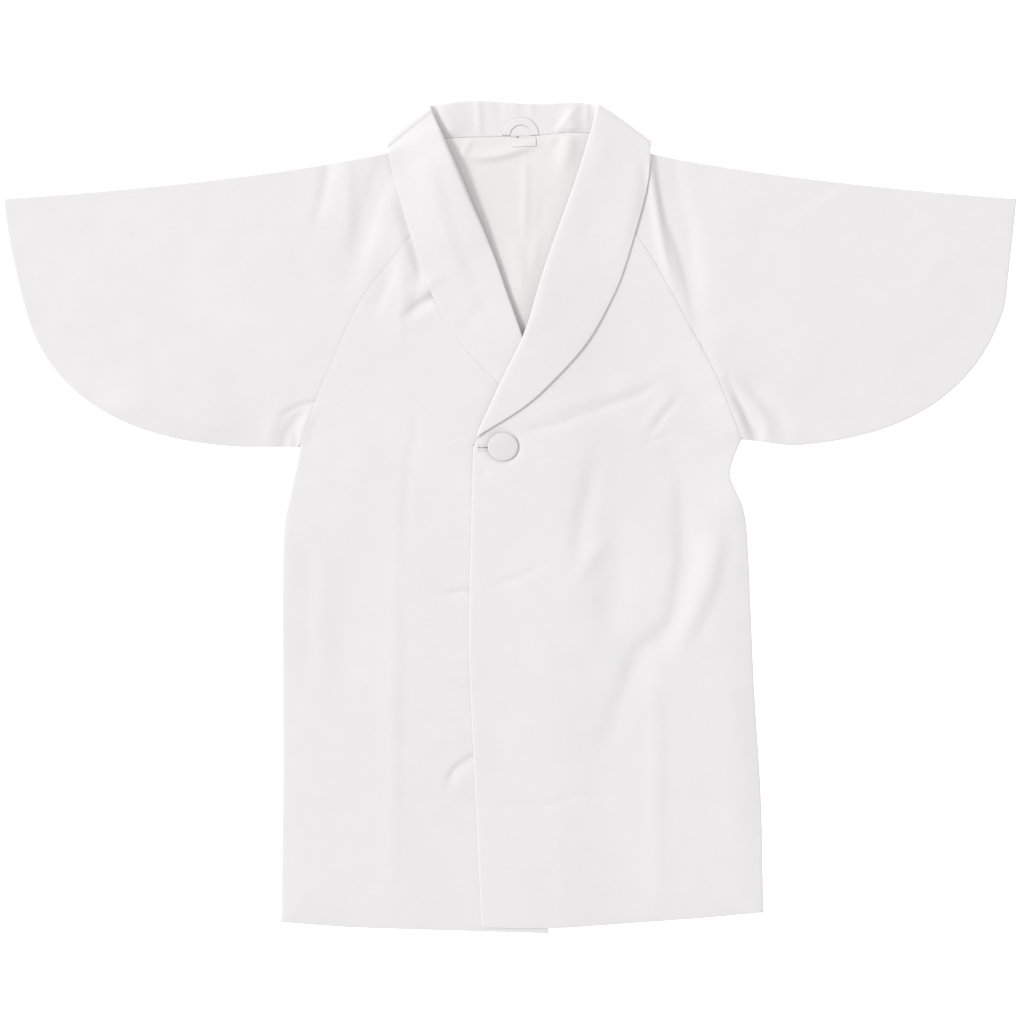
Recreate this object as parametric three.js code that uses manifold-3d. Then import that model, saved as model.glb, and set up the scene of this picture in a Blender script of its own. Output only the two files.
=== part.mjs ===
// A child's kimono coat with raglan sleeves, a shawl collar and one covered button.
// It lies flat on its back, front up. +X is the wearer's left, +Y runs to the neck, and
// z = 0 is the surface that it lies on. Sizes are millimetres.

import * as THREE from "three";
import { mergeVertices } from "three/addons/utils/BufferGeometryUtils.js";
import Module from "manifold-3d";

const wasm = await Module();
wasm.setup();

const { clamp, smoothstep } = THREE.MathUtils;

// Cloth
const SHELL_WALL = 1.2;
const LINING_WALL = 1.0;
const COLLAR_WALL = 1.8;
const LOOP_WALL = 1.4;
const LABEL_WALL = 1.0;
const SEAM_GAP = 0.3;
const LAYER_GAP = 0.4;

// An upper layer stays level a little past the edge under it, then comes down softly.
const STEP_LEVEL = 4;
const STEP_RUN = 28;
const CUTTER_REACH = 60;

// Laid panels are worked out on lines that they share, close together only where the
// cloth steps over an edge or folds.
const LINE_SPACING = 15;
const linesFrom = (first, last, spacing = LINE_SPACING) => {
  const count = Math.round((last - first) / spacing) + 1;
  return Array.from({ length: count }, (_, i) => first + i * spacing);
};
const BODY_COLUMNS = linesFrom(-150, 165);
const NECK_ROWS = linesFrom(285, 360);
const CHEST_ROWS = linesFrom(105, 270);
const SHOULDER_ROWS = linesFrom(195, 270);
const FRONT_FOLD_ROWS = [...linesFrom(-225, 30, 17), ...linesFrom(45, 90)];
const LEFT_FOLD_COLUMNS = linesFrom(178, 204, 13);
const RIGHT_FOLD_COLUMNS = linesFrom(-190, -160, 10);

// Collar section: two legs of cloth, joined by a round turn at the roll line.
const TURN_RADIUS = (COLLAR_WALL + 0.5) / 2;
const TURN_OUTSIDE = TURN_RADIUS + COLLAR_WALL / 2;
const COLLAR_LIFT = 0.5;
const TURN_STEPS = 4;
const LEG_STEPS = 4;
const CORNER_STEPS = 6;
const STATIONS_PER_ROW = 2;
const CORNER_NEARS = 0.85;
const CENTRE_BACK = 7.2;

const BUTTON = { x: -6.5, y: 65, radius: 14.3, rim: 2, height: 5.6, shankRadius: 1.6, sides: 32 };
const BUTTONHOLE = { from: -29.5, to: -3.5, width: 3.6 };
const HANGER = { x: 10, y: 353.8, outerWidth: 17, outerHeight: 17, innerWidth: 9.6, innerHeight: 9.6 };
const LABEL = { x: 13, y: 347.6, width: 23, height: 8.6, turn: 0.03 };

const SHELL_COLOUR = 0xebe9ea;
const LINING_COLOUR = 0xe6e4e0;

// Each sleeve, seen from above. The cuff is nearly straight and its lower corner is round.
const SLEEVES = {
  right: {
    neck: [-50, 360],
    shoulder: [-113, 337.8],
    shoulderBend: [-250, 310],
    tip: [-470, 295.3],
    cuffBend: [-466, 250],
    cuffEnd: [-450, 192],
    roundStart: [-435, 134],
    roundEnd: [-384, 72],
    lower: [-252, 65],
    seamFront: [[-195, 65], [-181, 108], [-164, 146], [-139, 200], [-93, 260], [-40, 328]],
    seamBack: [[-195, 65], [-160, 165], [-110, 262], [-44, 360]],
  },
  left: {
    neck: [66, 362],
    shoulder: [130, 337],
    shoulderBend: [250, 312],
    tip: [470, 295.3],
    cuffBend: [466, 250],
    cuffEnd: [459.5, 196],
    roundStart: [441, 136],
    roundEnd: [393, 74],
    lower: [262, 66],
    seamFront: [[214.6, 72], [191, 131], [165, 180], [134, 236], [114, 265], [66, 322]],
    seamBack: [[214.6, 72], [178, 165], [124, 262], [58, 364]],
  },
};

// Side seams from the underarm down to the hem.
const SIDE_RIGHT = [[-195, 65], [-199, 43], [-205, 15], [-211, -31], [-211, -235], [-212.7, -376]];
const SIDE_LEFT = [
  [214.6, 72], [203.5, 42], [209, 25], [217, 6], [221, -31], [226, -150], [233, -263], [235, -367],
];

// Hems, and the free edges of the two fronts from the hem up to where the collar breaks.
const HEM_BACK = [[-212.4, -373], [-120, -378], [10, -380], [130, -373], [234.7, -364]];
const HEM_UNDER = [[-212.7, -376], [-148, -380.8], [-74, -382.8], [35.3, -386.5]];
const HEM_OVER = [[-26.4, -381], [37, -381.8], [112, -377], [176, -372.5], [235, -367]];
const EDGE_UNDER = [[35.3, -386.5], [39, -263], [44.6, -40], [47, 70]];
const EDGE_OVER = [[-26.4, -381], [-34.4, -218], [-38, -125], [-37.4, -64], [-34.4, 56], [-33, 66]];

// Each front runs on past its neck seam to a straight line here, and is cut back to it.
const PAST_NECK_UNDER = [[53, 76], [-30, 300]];
const PAST_NECK_OVER = [[-36, 72], [52, 300]];

// The lining, a little larger than the neck opening that shows it.
const LINING = [[-78, 358], [-66, 300], [-36, 215], [-6, 140], [24, 140], [48, 205], [84, 300], [88, 362]];

// Collar rows from the break up to the neck corner. roll: the fold at the inner side,
// edge: the free outer edge, stand: width of the leg under the fall.
const COLLAR_ROWS = {
  right: [
    { roll: [46, 72], edge: [38, 76], stand: 3 },
    { roll: [34, 104], edge: [12, 103], stand: 8 },
    { roll: [22, 138], edge: [-18, 131], stand: 10 },
    { roll: [10, 173], edge: [-46, 162], stand: 10 },
    { roll: [-3, 209], edge: [-67, 195], stand: 10 },
    { roll: [-16, 246], edge: [-82, 231], stand: 10 },
    { roll: [-41, 305], edge: [-103, 297], stand: 10 },
    { roll: [-59, 347], edge: [-111.5, 331], stand: 5 },
  ],
  left: [
    { roll: [-33, 68], edge: [-28, 74], stand: 3 },
    { roll: [-18, 105], edge: [12, 101], stand: 8 },
    { roll: [-5.5, 132], edge: [40, 126], stand: 10 },
    { roll: [14, 173], edge: [71, 161], stand: 10 },
    { roll: [29.7, 225], edge: [94, 201], stand: 10 },
    { roll: [41, 258], edge: [108, 236], stand: 10 },
    { roll: [60.4, 312], edge: [126, 300], stand: 10 },
    { roll: [71.5, 347.4], edge: [130, 328], stand: 5 },
  ],
};

// Neck corners: the fall folds over the shoulder along the line from roll to edge.
const COLLAR_CORNERS = {
  right: { roll: [-68, 384.5], edge: [-112.5, 347.5], seam: [-67, 350] },
  left: { roll: [83.6, 384.5], edge: [129, 348], seam: [82, 354.5] },
};

// Behind the neck, from the corner to the centre back: fold, lower edge and neck seam.
const COLLAR_BACK = {
  right: [
    { roll: [-45, 386.2], edge: [-66, 326], seam: [-45, 351.3] },
    { roll: [-20, 386.4], edge: [-25, 323], seam: [-20, 351.8] },
    { roll: [CENTRE_BACK, 384.5], edge: [CENTRE_BACK, 322.3], seam: [CENTRE_BACK, 352.4] },
  ],
  left: [
    { roll: [57, 385.2], edge: [76, 327], seam: [57, 356.2] },
    { roll: [30, 384], edge: [34, 323.5], seam: [30, 353.6] },
    { roll: [CENTRE_BACK, 384.5], edge: [CENTRE_BACK, 322.3], seam: [CENTRE_BACK, 352.4] },
  ],
};

// The largest soft folds, as ridges: reach is the half width at the foot.
const FOLDS = {
  front_left: [
    { from: [151, 20], to: [147, -83], reach: 20, height: 2.6 },
    { from: [147, -83], to: [110, -125], reach: 20, height: 2.4 },
    { from: [110, -125], to: [81, -202], reach: 22, height: 2.2 },
    { from: [81, 53], to: [51, -33], reach: 16, height: 1.6 },
    { from: [199, -25], to: [151, -132], reach: 18, height: 1.4 },
  ],
  sleeve_right: [{ from: [-163, 310], to: [-166, 225], reach: 16, height: 2.2 }],
  sleeve_left: [{ from: [156, 312], to: [182, 200], reach: 18, height: 2.6 }],
};

// ---- Lines and outlines ----

const vector = ([x, y]) => new THREE.Vector2(x, y);
const raised = (point, z) => new THREE.Vector3(point.x, point.y, z);
const toward = (from, to) => to.clone().sub(from).normalize();

// The direction across a line, to the outer side of a collar half.
const outwardOf = (along, way) => new THREE.Vector2(-along.y * way, along.x * way);

// Points on a smooth curve through the rows of a table.
function through(rows, steps = 4) {
  return new THREE.SplineCurve(rows.map(vector)).getPoints((rows.length - 1) * steps);
}

function bend(from, control, to) {
  return new THREE.QuadraticBezierCurve(vector(from), vector(control), vector(to)).getPoints(8);
}

// A polyline moved sideways, to its left when seen along its direction.
function beside(points, distance) {
  return points.map((point, i) => {
    const before = points[Math.max(i - 1, 0)];
    const after = points[Math.min(i + 1, points.length - 1)];
    return point.clone().addScaledVector(outwardOf(toward(before, after), 1), distance);
  });
}

// Joins runs of points into one outline, without the double points where runs meet.
function outlineOf(...runs) {
  const all = runs.flat();
  return all.filter((point, i) => point.distanceTo(all[(i + 1) % all.length]) > 0.05);
}

function distanceToSegment(x, y, a, b) {
  const dx = b.x - a.x;
  const dy = b.y - a.y;
  const part = clamp(((x - a.x) * dx + (y - a.y) * dy) / (dx * dx + dy * dy), 0, 1);
  return Math.hypot(x - a.x - part * dx, y - a.y - part * dy);
}

function isInside(outline, x, y) {
  let inside = false;
  outline.forEach((a, i) => {
    const b = outline[(i + 1) % outline.length];
    const spans = a.y > y !== b.y > y;
    if (spans && x < ((b.x - a.x) * (y - a.y)) / (b.y - a.y) + a.x) inside = !inside;
  });
  return inside;
}

// 1 over an outline and a little past it, 0 well away from it, smooth between.
function cover(outline, x, y) {
  if (isInside(outline, x, y)) return 1;
  const away = outline.map((a, i) => distanceToSegment(x, y, a, outline[(i + 1) % outline.length]));
  return 1 - smoothstep(Math.min(...away), STEP_LEVEL, STEP_LEVEL + STEP_RUN);
}

const withFolds = (base, folds) => (x, y) => {
  const heights = folds.map((fold) => {
    const away = distanceToSegment(x, y, vector(fold.from), vector(fold.to)) / fold.reach;
    return away < 1 ? fold.height * Math.cos((Math.PI / 2) * away) ** 2 : 0;
  });
  return base(x, y) + Math.max(0, ...heights);
};

// ---- Solids ----

function solidFrom(positions, triangles) {
  const mesh = new wasm.Mesh({
    numProp: 3,
    vertProperties: new Float32Array(positions),
    triVerts: new Uint32Array(triangles),
  });
  return new wasm.Manifold(mesh);
}

function prism(outline, from = -CUTTER_REACH, to = CUTTER_REACH) {
  const settings = { depth: to - from, bevelEnabled: false };
  const geometry = new THREE.ExtrudeGeometry(new THREE.Shape(outline), settings);
  geometry.translate(0, 0, from);
  geometry.deleteAttribute("normal");
  geometry.deleteAttribute("uv");
  const merged = mergeVertices(geometry, 1e-4);
  return solidFrom(merged.attributes.position.array, merged.index.array);
}

// A sheet of one wall, worked out where columns and rows cross, then cut to its outline.
// Panels that share the lines keep their distance exactly, on slopes too.
function laidPanel({ outline, base, wall, columns, rows, cuts }) {
  const box = new THREE.Box2().setFromPoints(outline);
  const linesIn = (lines, axis) => {
    const inside = lines.filter((value) => value > box.min[axis] && value < box.max[axis]);
    return [box.min[axis] - 1, ...inside.sort((a, b) => a - b), box.max[axis] + 1];
  };
  const xs = linesIn(columns, "x");
  const ys = linesIn(rows, "y");
  const positions = [];
  for (const lift of [0, wall]) {
    for (const y of ys) {
      for (const x of xs) positions.push(x, y, base(x, y) + lift);
    }
  }
  const triangles = [];
  const quad = (a, b, c, d) => triangles.push(a, b, c, a, c, d);
  const wide = xs.length;
  const top = wide * ys.length;
  for (let j = 0; j + 1 < ys.length; j++) {
    for (let i = 0; i + 1 < wide; i++) {
      const a = j * wide + i;
      triangles.push(a, a + wide + 1, a + 1, a, a + wide, a + wide + 1);
      quad(top + a, top + a + 1, top + a + wide + 1, top + a + wide);
    }
  }
  for (let i = 0; i + 1 < wide; i++) {
    const far = (ys.length - 1) * wide + i;
    quad(i, i + 1, top + i + 1, top + i);
    quad(far + 1, far, top + far, top + far + 1);
  }
  for (let j = 0; j + 1 < ys.length; j++) {
    const near = j * wide;
    const far = near + wide - 1;
    quad(near + wide, near, top + near, top + near + wide);
    quad(far, far + wide, top + far + wide, top + far);
  }
  const sheet = solidFrom(positions, triangles).intersect(prism(outline));
  return cuts.reduce((panel, cut) => panel.subtract(cut), sheet);
}

const coat = new THREE.Group();

function addPiece(name, geometry, colour = SHELL_COLOUR) {
  const material = new THREE.MeshStandardMaterial({ color: colour, roughness: 0.9, metalness: 0 });
  const piece = new THREE.Mesh(geometry, material);
  piece.name = name;
  coat.add(piece);
  return piece;
}

function addSolid(name, solid, colour) {
  const mesh = solid.getMesh();
  const geometry = new THREE.BufferGeometry();
  geometry.setAttribute("position", new THREE.BufferAttribute(mesh.vertProperties, 3));
  geometry.setIndex(new THREE.BufferAttribute(mesh.triVerts, 1));
  geometry.computeVertexNormals();
  return addPiece(name, geometry, colour);
}

// ---- How the layers stack ----

const collarLine = (side, key) => through(COLLAR_ROWS[side].map((row) => row[key]));
const backFallEdge = (side) => {
  return through([COLLAR_CORNERS[side].edge, ...COLLAR_BACK[side].map((row) => row.edge)]);
};
const rightFallOutline = outlineOf(collarLine("right", "roll"), collarLine("right", "edge").reverse());
const backFallOutline = outlineOf(
  backFallEdge("right"),
  backFallEdge("left").reverse(),
  [vector(COLLAR_CORNERS.left.roll), vector(COLLAR_CORNERS.right.roll)],
);
const liningOutline = through(LINING);
const frontUnderOutline = outlineOf(
  through(SLEEVES.right.seamFront).reverse(),
  through(SIDE_RIGHT),
  through(HEM_UNDER),
  through(EDGE_UNDER),
  PAST_NECK_UNDER.map(vector),
);
const frontOverOutline = outlineOf(
  through(SLEEVES.left.seamFront).reverse(),
  through(SIDE_LEFT),
  through(HEM_OVER).reverse(),
  through(EDGE_OVER),
  PAST_NECK_OVER.map(vector),
);
const backOutline = outlineOf(
  through(SLEEVES.right.seamBack).reverse(),
  through(SIDE_RIGHT).slice(0, -1),
  through(HEM_BACK),
  through(SIDE_LEFT).slice(0, -1).reverse(),
  through(SLEEVES.left.seamBack),
);

// Heights of the underside of each layer. The collar's fall lies under the back's neck.
const BACK_RISE = 2 * TURN_RADIUS;
const FALL_TOP = COLLAR_LIFT + COLLAR_WALL + 2 * TURN_RADIUS;
const backBase = (x, y) => BACK_RISE * cover(backFallOutline, x, y);
const liningBase = (x, y) => backBase(x, y) + SHELL_WALL + LAYER_GAP;

function frontBase(x, y) {
  return liningBase(x, y) + (LINING_WALL + LAYER_GAP) * cover(liningOutline, x, y);
}

function overBase(x, y) {
  const overFront = (SHELL_WALL + LAYER_GAP) * cover(frontUnderOutline, x, y);
  const overFall = (FALL_TOP - SHELL_WALL) * cover(rightFallOutline, x, y);
  return frontBase(x, y) + overFront + overFall;
}

// ---- Shawl collar ----
// It is swept through stations, worked out for each half. A station holds the centre of the round turn, the
// free edge of the fall, the seam of the stand, and the normals of both legs. lift is how
// far the layer under a point is above the layer under the station.

// The neck corner, where the fall and the stand each fold about an axis from the centre.
function cornerPlace({ side, way, base }) {
  const { roll, edge, seam } = COLLAR_CORNERS[side];
  const along = toward(vector(roll), vector(edge));
  const outward = outwardOf(along, way);
  const lowCentre = COLLAR_WALL / 2 + TURN_RADIUS;
  const highCentre = base(...seam) + COLLAR_LIFT + lowCentre;
  const radius = (highCentre - lowCentre) / 2;
  const inset = -(radius + TURN_OUTSIDE);
  const centre = vector(roll).addScaledVector(outward, inset).addScaledVector(along, TURN_OUTSIDE);
  return {
    centre,
    edge: vector(edge).addScaledVector(outward, inset),
    seam: vector(seam),
    height: (highCentre + lowCentre) / 2,
    radius,
  };
}

function frontStations(half) {
  const rows = COLLAR_ROWS[half.side];
  const place = cornerPlace(half);
  const rowEdges = rows.map((row) => vector(row.edge));
  const rowCentres = rows.map((row, i) => {
    return vector(row.roll).addScaledVector(toward(vector(row.roll), rowEdges[i]), TURN_OUTSIDE);
  });
  const rowSeams = rows.map((row, i) => {
    return rowCentres[i].clone().addScaledVector(toward(rowCentres[i], rowEdges[i]), row.stand);
  });
  const count = rows.length * STATIONS_PER_ROW;
  const smoothLine = (points) => new THREE.SplineCurve(points).getPoints(count);
  const edges = smoothLine([...rowEdges, place.edge]);
  const seams = smoothLine([...rowSeams, place.seam]);
  const normal = new THREE.Vector3(0, 0, 1);
  return smoothLine([...rowCentres, place.centre]).slice(0, count).map((centre, i) => {
    const level = half.base(seams[i].x, seams[i].y);
    const follow = 1 - smoothstep(i / count, CORNER_NEARS, 1);
    return {
      centre: raised(centre, level + COLLAR_LIFT + COLLAR_WALL / 2 + TURN_RADIUS),
      edge: edges[i],
      seam: seams[i],
      fallNormal: normal,
      standNormal: normal,
      lift: (x, y) => (half.base(x, y) - level) * follow,
    };
  });
}

function cornerStations(half) {
  const place = cornerPlace(half);
  const fallOutward = outwardOf(toward(place.centre, place.edge), half.way);
  const standOutward = outwardOf(toward(place.centre, place.seam), half.way);
  const middleOutward = fallOutward.clone().add(standOutward).normalize();
  return Array.from({ length: CORNER_STEPS + 1 }, (_, i) => {
    const angle = (Math.PI * i) / CORNER_STEPS;
    const turned = (outward) => raised(outward.clone().multiplyScalar(Math.sin(angle)), Math.cos(angle));
    const centre = raised(place.centre, place.height);
    centre.addScaledVector(turned(middleOutward), place.radius);
    const moved = new THREE.Vector2(centre.x, centre.y).sub(place.centre);
    return {
      centre,
      edge: place.edge.clone().add(moved),
      seam: place.seam.clone().add(moved),
      fallNormal: turned(fallOutward),
      standNormal: turned(standOutward),
      lift: () => 0,
    };
  });
}

function backStations(half) {
  const place = cornerPlace(half);
  const rows = COLLAR_BACK[half.side];
  const count = rows.length * STATIONS_PER_ROW;
  const smoothLine = (points) => new THREE.SplineCurve(points).getPoints(count).slice(1);
  const rowCentres = rows.map((row) => vector(row.roll).sub(new THREE.Vector2(0, TURN_OUTSIDE)));
  const edges = smoothLine([place.edge, ...rows.map((row) => vector(row.edge))]);
  const seams = smoothLine([place.seam, ...rows.map((row) => vector(row.seam))]);
  const normal = new THREE.Vector3(0, 0, -1);
  return smoothLine([place.centre, ...rowCentres]).map((centre, i) => ({
    centre: raised(centre, COLLAR_WALL / 2 + TURN_RADIUS),
    edge: edges[i],
    seam: seams[i],
    fallNormal: normal,
    standNormal: normal,
    lift: () => 0,
  }));
}

// The section at a station, from the seam of the stand, round the turn, to the free edge.
// Each entry is a point in the middle of the cloth and the normal out of the collar.
function collarSection({ centre, edge, seam, fallNormal, standNormal, lift }) {
  const flatCentre = new THREE.Vector2(centre.x, centre.y);
  const fallAlong = raised(toward(flatCentre, edge), 0);
  const standAlong = raised(toward(flatCentre, seam), 0);
  const section = [];
  for (let i = LEG_STEPS; i > 0; i--) {
    const point = centre.clone().addScaledVector(standNormal, -TURN_RADIUS);
    point.addScaledVector(standAlong, (flatCentre.distanceTo(seam) * i) / LEG_STEPS);
    section.push({ point, normal: standNormal.clone().negate() });
  }
  for (let i = 0; i <= TURN_STEPS; i++) {
    const part = i / TURN_STEPS;
    const along = standAlong.clone().lerp(fallAlong, part).normalize();
    const normal = standNormal.clone().lerp(fallNormal, part).normalize();
    normal.multiplyScalar(-Math.cos(Math.PI * part));
    normal.addScaledVector(along, -Math.sin(Math.PI * part)).normalize();
    section.push({ point: centre.clone().addScaledVector(normal, TURN_RADIUS), normal });
  }
  for (let i = 1; i <= LEG_STEPS; i++) {
    const point = centre.clone().addScaledVector(fallNormal, TURN_RADIUS);
    point.addScaledVector(fallAlong, (flatCentre.distanceTo(edge) * i) / LEG_STEPS);
    section.push({ point, normal: fallNormal });
  }
  for (const { point } of section) point.z += lift(point.x, point.y);
  return section;
}

// The loops of points round the cloth at the stations of one half, from the tip to the back.
function collarLoops(half) {
  const stations = [...frontStations(half), ...cornerStations(half), ...backStations(half)];
  return stations.map((station) => {
    const section = collarSection(station);
    const face = (offset) => {
      return section.map(({ point, normal }) => point.clone().addScaledVector(normal, offset));
    };
    return [...face(COLLAR_WALL / 2), ...face(-COLLAR_WALL / 2).reverse()];
  });
}

// The whole collar, from the right tip round the back of the neck to the left tip.
function collarSolid({ right, left }) {
  const loops = [...collarLoops(right), ...collarLoops(left).slice(0, -1).reverse()];
  const count = loops[0].length;
  const triangles = [];
  const quad = (a, b, c, d) => triangles.push(a, c, b, a, d, c);
  for (let s = 0; s + 1 < loops.length; s++) {
    for (let k = 0; k < count; k++) {
      const next = (k + 1) % count;
      quad(s * count + k, s * count + next, (s + 1) * count + next, (s + 1) * count + k);
    }
  }
  const end = (loops.length - 1) * count;
  for (let k = 0; k + 1 < count / 2; k++) {
    const across = count - 1 - k;
    quad(across, across - 1, k + 1, k);
    quad(end + k, end + k + 1, end + across - 1, end + across);
  }
  return solidFrom(loops.flat().flatMap((point) => point.toArray()), triangles);
}

const HALVES = {
  right: { side: "right", way: -1, base: frontBase },
  left: { side: "left", way: 1, base: overBase },
};

// ---- Where panels stop at the neck seam ----

// The part of a station's plan where a panel would meet the stand, a seam gap past it.
function pastSeam({ centre, seam }) {
  const flatCentre = new THREE.Vector2(centre.x, centre.y);
  return seam.clone().addScaledVector(toward(flatCentre, seam), SEAM_GAP);
}

// Points round the fold of the stand at the neck corner, from the seam up and over.
function cornerPoints(half, gap) {
  const place = cornerPlace(half);
  const standAlong = toward(place.centre, place.seam);
  const standReach = place.radius - TURN_RADIUS + COLLAR_WALL / 2 + SEAM_GAP;
  const outward = outwardOf(standAlong, half.way).multiplyScalar(standReach);
  const seam = place.seam.clone().addScaledVector(standAlong, gap);
  const top = place.centre.clone().add(outward);
  return [seam, seam.clone().add(outward), top, new THREE.Vector2(top.x, top.y + CUTTER_REACH)];
}

function frontNeckRegion(half) {
  const seam = frontStations(half).slice(0, -1).map(pastSeam);
  const [first, second] = COLLAR_ROWS[half.side].map((row) => vector(row.roll));
  const below = toward(second, first).multiplyScalar(2 * SEAM_GAP);
  const tip = first.clone().add(below).addScaledVector(toward(seam[0], first), 2 * SEAM_GAP);
  const corner = cornerPoints(half, 4 * SEAM_GAP);
  const far = -half.way * 4 * CUTTER_REACH;
  return prism([
    tip,
    seam[0].clone().add(below),
    ...seam,
    ...corner,
    new THREE.Vector2(far, corner.at(-1).y),
    new THREE.Vector2(far, tip.y),
  ]);
}

function backNeckRegion(half) {
  const seam = backStations(half).map(pastSeam);
  const corner = cornerPoints(half, SEAM_GAP).reverse();
  const pastMiddle = CENTRE_BACK - half.way;
  return prism([
    ...seam,
    new THREE.Vector2(pastMiddle, seam.at(-1).y),
    new THREE.Vector2(pastMiddle, corner[0].y),
    ...corner,
  ]);
}

const backCuts = Object.values(HALVES).map(backNeckRegion);
const frontCuts = {
  right: [frontNeckRegion(HALVES.right)],
  left: [frontNeckRegion(HALVES.left)],
};

// ---- Panels ----

// The outline of a sleeve panel that is sewn to the body along the given seam.
function sleeveOutline(side, seam) {
  const sleeve = SLEEVES[side];
  const { cuffEnd, roundStart, roundEnd, lower } = sleeve;
  const round = new THREE.CubicBezierCurve(...[cuffEnd, roundStart, roundEnd, lower].map(vector));
  return outlineOf(
    beside(through(seam), side === "right" ? SEAM_GAP : -SEAM_GAP),
    [vector(sleeve.neck), vector(sleeve.shoulder)],
    bend(sleeve.shoulder, sleeve.shoulderBend, sleeve.tip),
    bend(sleeve.tip, sleeve.cuffBend, cuffEnd),
    round.getPoints(14),
  );
}

const { from: holeFrom, to: holeTo, width: holeWidth } = BUTTONHOLE;
const buttonhole = prism([
  new THREE.Vector2(holeFrom, BUTTON.y - holeWidth / 2),
  new THREE.Vector2(holeTo, BUTTON.y - holeWidth / 2),
  new THREE.Vector2(holeTo, BUTTON.y + holeWidth / 2),
  new THREE.Vector2(holeFrom, BUTTON.y + holeWidth / 2),
]);

const underPanel = {
  base: backBase,
  wall: SHELL_WALL,
  cuts: backCuts,
  columns: BODY_COLUMNS,
  rows: NECK_ROWS,
};
const panels = {
  back: { ...underPanel, outline: backOutline },
  back_lining: { ...underPanel, outline: liningOutline, base: liningBase, wall: LINING_WALL },
  front_right: {
    outline: frontUnderOutline,
    base: frontBase,
    wall: SHELL_WALL,
    cuts: frontCuts.right,
    columns: BODY_COLUMNS,
    rows: [...CHEST_ROWS, ...NECK_ROWS],
  },
  front_left: {
    outline: frontOverOutline,
    base: withFolds(overBase, FOLDS.front_left),
    wall: SHELL_WALL,
    cuts: [...frontCuts.left, buttonhole],
    columns: [...BODY_COLUMNS, ...LEFT_FOLD_COLUMNS],
    rows: [...FRONT_FOLD_ROWS, ...CHEST_ROWS, ...NECK_ROWS],
  },
};
for (const side of ["right", "left"]) {
  const { seamFront, seamBack } = SLEEVES[side];
  const foldColumns = side === "right" ? RIGHT_FOLD_COLUMNS : LEFT_FOLD_COLUMNS;
  panels["sleeve_" + side + "_back"] = { ...underPanel, outline: sleeveOutline(side, seamBack) };
  panels["sleeve_" + side + "_front"] = {
    outline: sleeveOutline(side, seamFront),
    base: withFolds(frontBase, FOLDS["sleeve_" + side]),
    wall: SHELL_WALL,
    cuts: frontCuts[side],
    columns: [...BODY_COLUMNS, ...foldColumns],
    rows: [...SHOULDER_ROWS, ...NECK_ROWS],
  };
}
for (const [name, panel] of Object.entries(panels)) {
  addSolid(name, laidPanel(panel), name === "back_lining" ? LINING_COLOUR : SHELL_COLOUR);
}
addSolid("collar", collarSolid(HALVES));

// ---- Hanger loop, label and button ----

// An arch of tape that lies on the stand of the collar, sewn in at the neck seam.
function hangerOutline() {
  const { x, y, outerWidth, outerHeight, innerWidth, innerHeight } = HANGER;
  const arch = (width, height) => new THREE.EllipseCurve(x, y, width, height, 0, Math.PI).getPoints(16);
  return outlineOf(arch(outerWidth, outerHeight), arch(innerWidth, innerHeight).reverse());
}

const standTop = BACK_RISE + COLLAR_WALL + LAYER_GAP;
addSolid("hanger_loop", prism(hangerOutline(), standTop, standTop + LOOP_WALL));

const label = addPiece("size_label", new THREE.BoxGeometry(LABEL.width, LABEL.height, LABEL_WALL));
const liningTop = liningBase(LABEL.x, LABEL.y) + LINING_WALL;
label.position.set(LABEL.x, LABEL.y, liningTop + SEAM_GAP + LABEL_WALL / 2);
label.rotation.z = LABEL.turn;

// A covered button: a low dome with a rounded rim, on a shank that passes through the
// buttonhole to the front under it.
function buttonProfile(shankLength) {
  const { radius, rim, height, shankRadius } = BUTTON;
  const points = [[0, -shankLength], [shankRadius, -shankLength], [shankRadius, 0]];
  for (let step = 0; step <= 3; step++) {
    const angle = (Math.PI * step) / 6;
    points.push([radius - rim + rim * Math.sin(angle), rim * (1 - Math.cos(angle))]);
  }
  for (let step = 1; step <= 5; step++) {
    const angle = (Math.PI * step) / 12;
    points.push([radius * Math.cos(angle) ** 0.7, rim + (height - rim) * Math.sin(angle)]);
  }
  points.push([0, height]);
  return points.map(vector);
}

const roundTheRim = linesFrom(0, 7, 1).map((step) => {
  const angle = (Math.PI * step) / 4;
  return overBase(BUTTON.x + BUTTON.radius * Math.cos(angle), BUTTON.y + BUTTON.radius * Math.sin(angle));
});
const buttonFoot = Math.max(...roundTheRim) + SHELL_WALL + LAYER_GAP;
const shankFoot = frontBase(BUTTON.x, BUTTON.y) + SHELL_WALL + SEAM_GAP;
const buttonShape = new THREE.LatheGeometry(buttonProfile(buttonFoot - shankFoot), BUTTON.sides);
buttonShape.rotateX(Math.PI / 2);
const button = addPiece("button", buttonShape);
button.position.set(BUTTON.x, BUTTON.y, buttonFoot);

export default coat;
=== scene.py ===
# %% [markdown]
# # A child's kimono coat, laid flat
#
# The coat lies on its back with the front up. It is cut from a matte white cloth: two
# fronts, a back, and two raglan sleeves that each have an upper and an under panel. A
# shawl collar in one piece runs from the right tip round the neck to the left tip. A piece
# of lining shows in the neck, with a hanger loop and a bare size label at its top. One
# covered button closes the front.
#
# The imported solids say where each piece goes. Here each one is made again as thin cloth
# with soft folds, and stands in for its solid.

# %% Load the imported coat
import math

import bmesh
import bpy
import numpy as np
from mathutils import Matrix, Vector, noise
from mathutils.geometry import delaunay_2d_cdt


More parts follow.
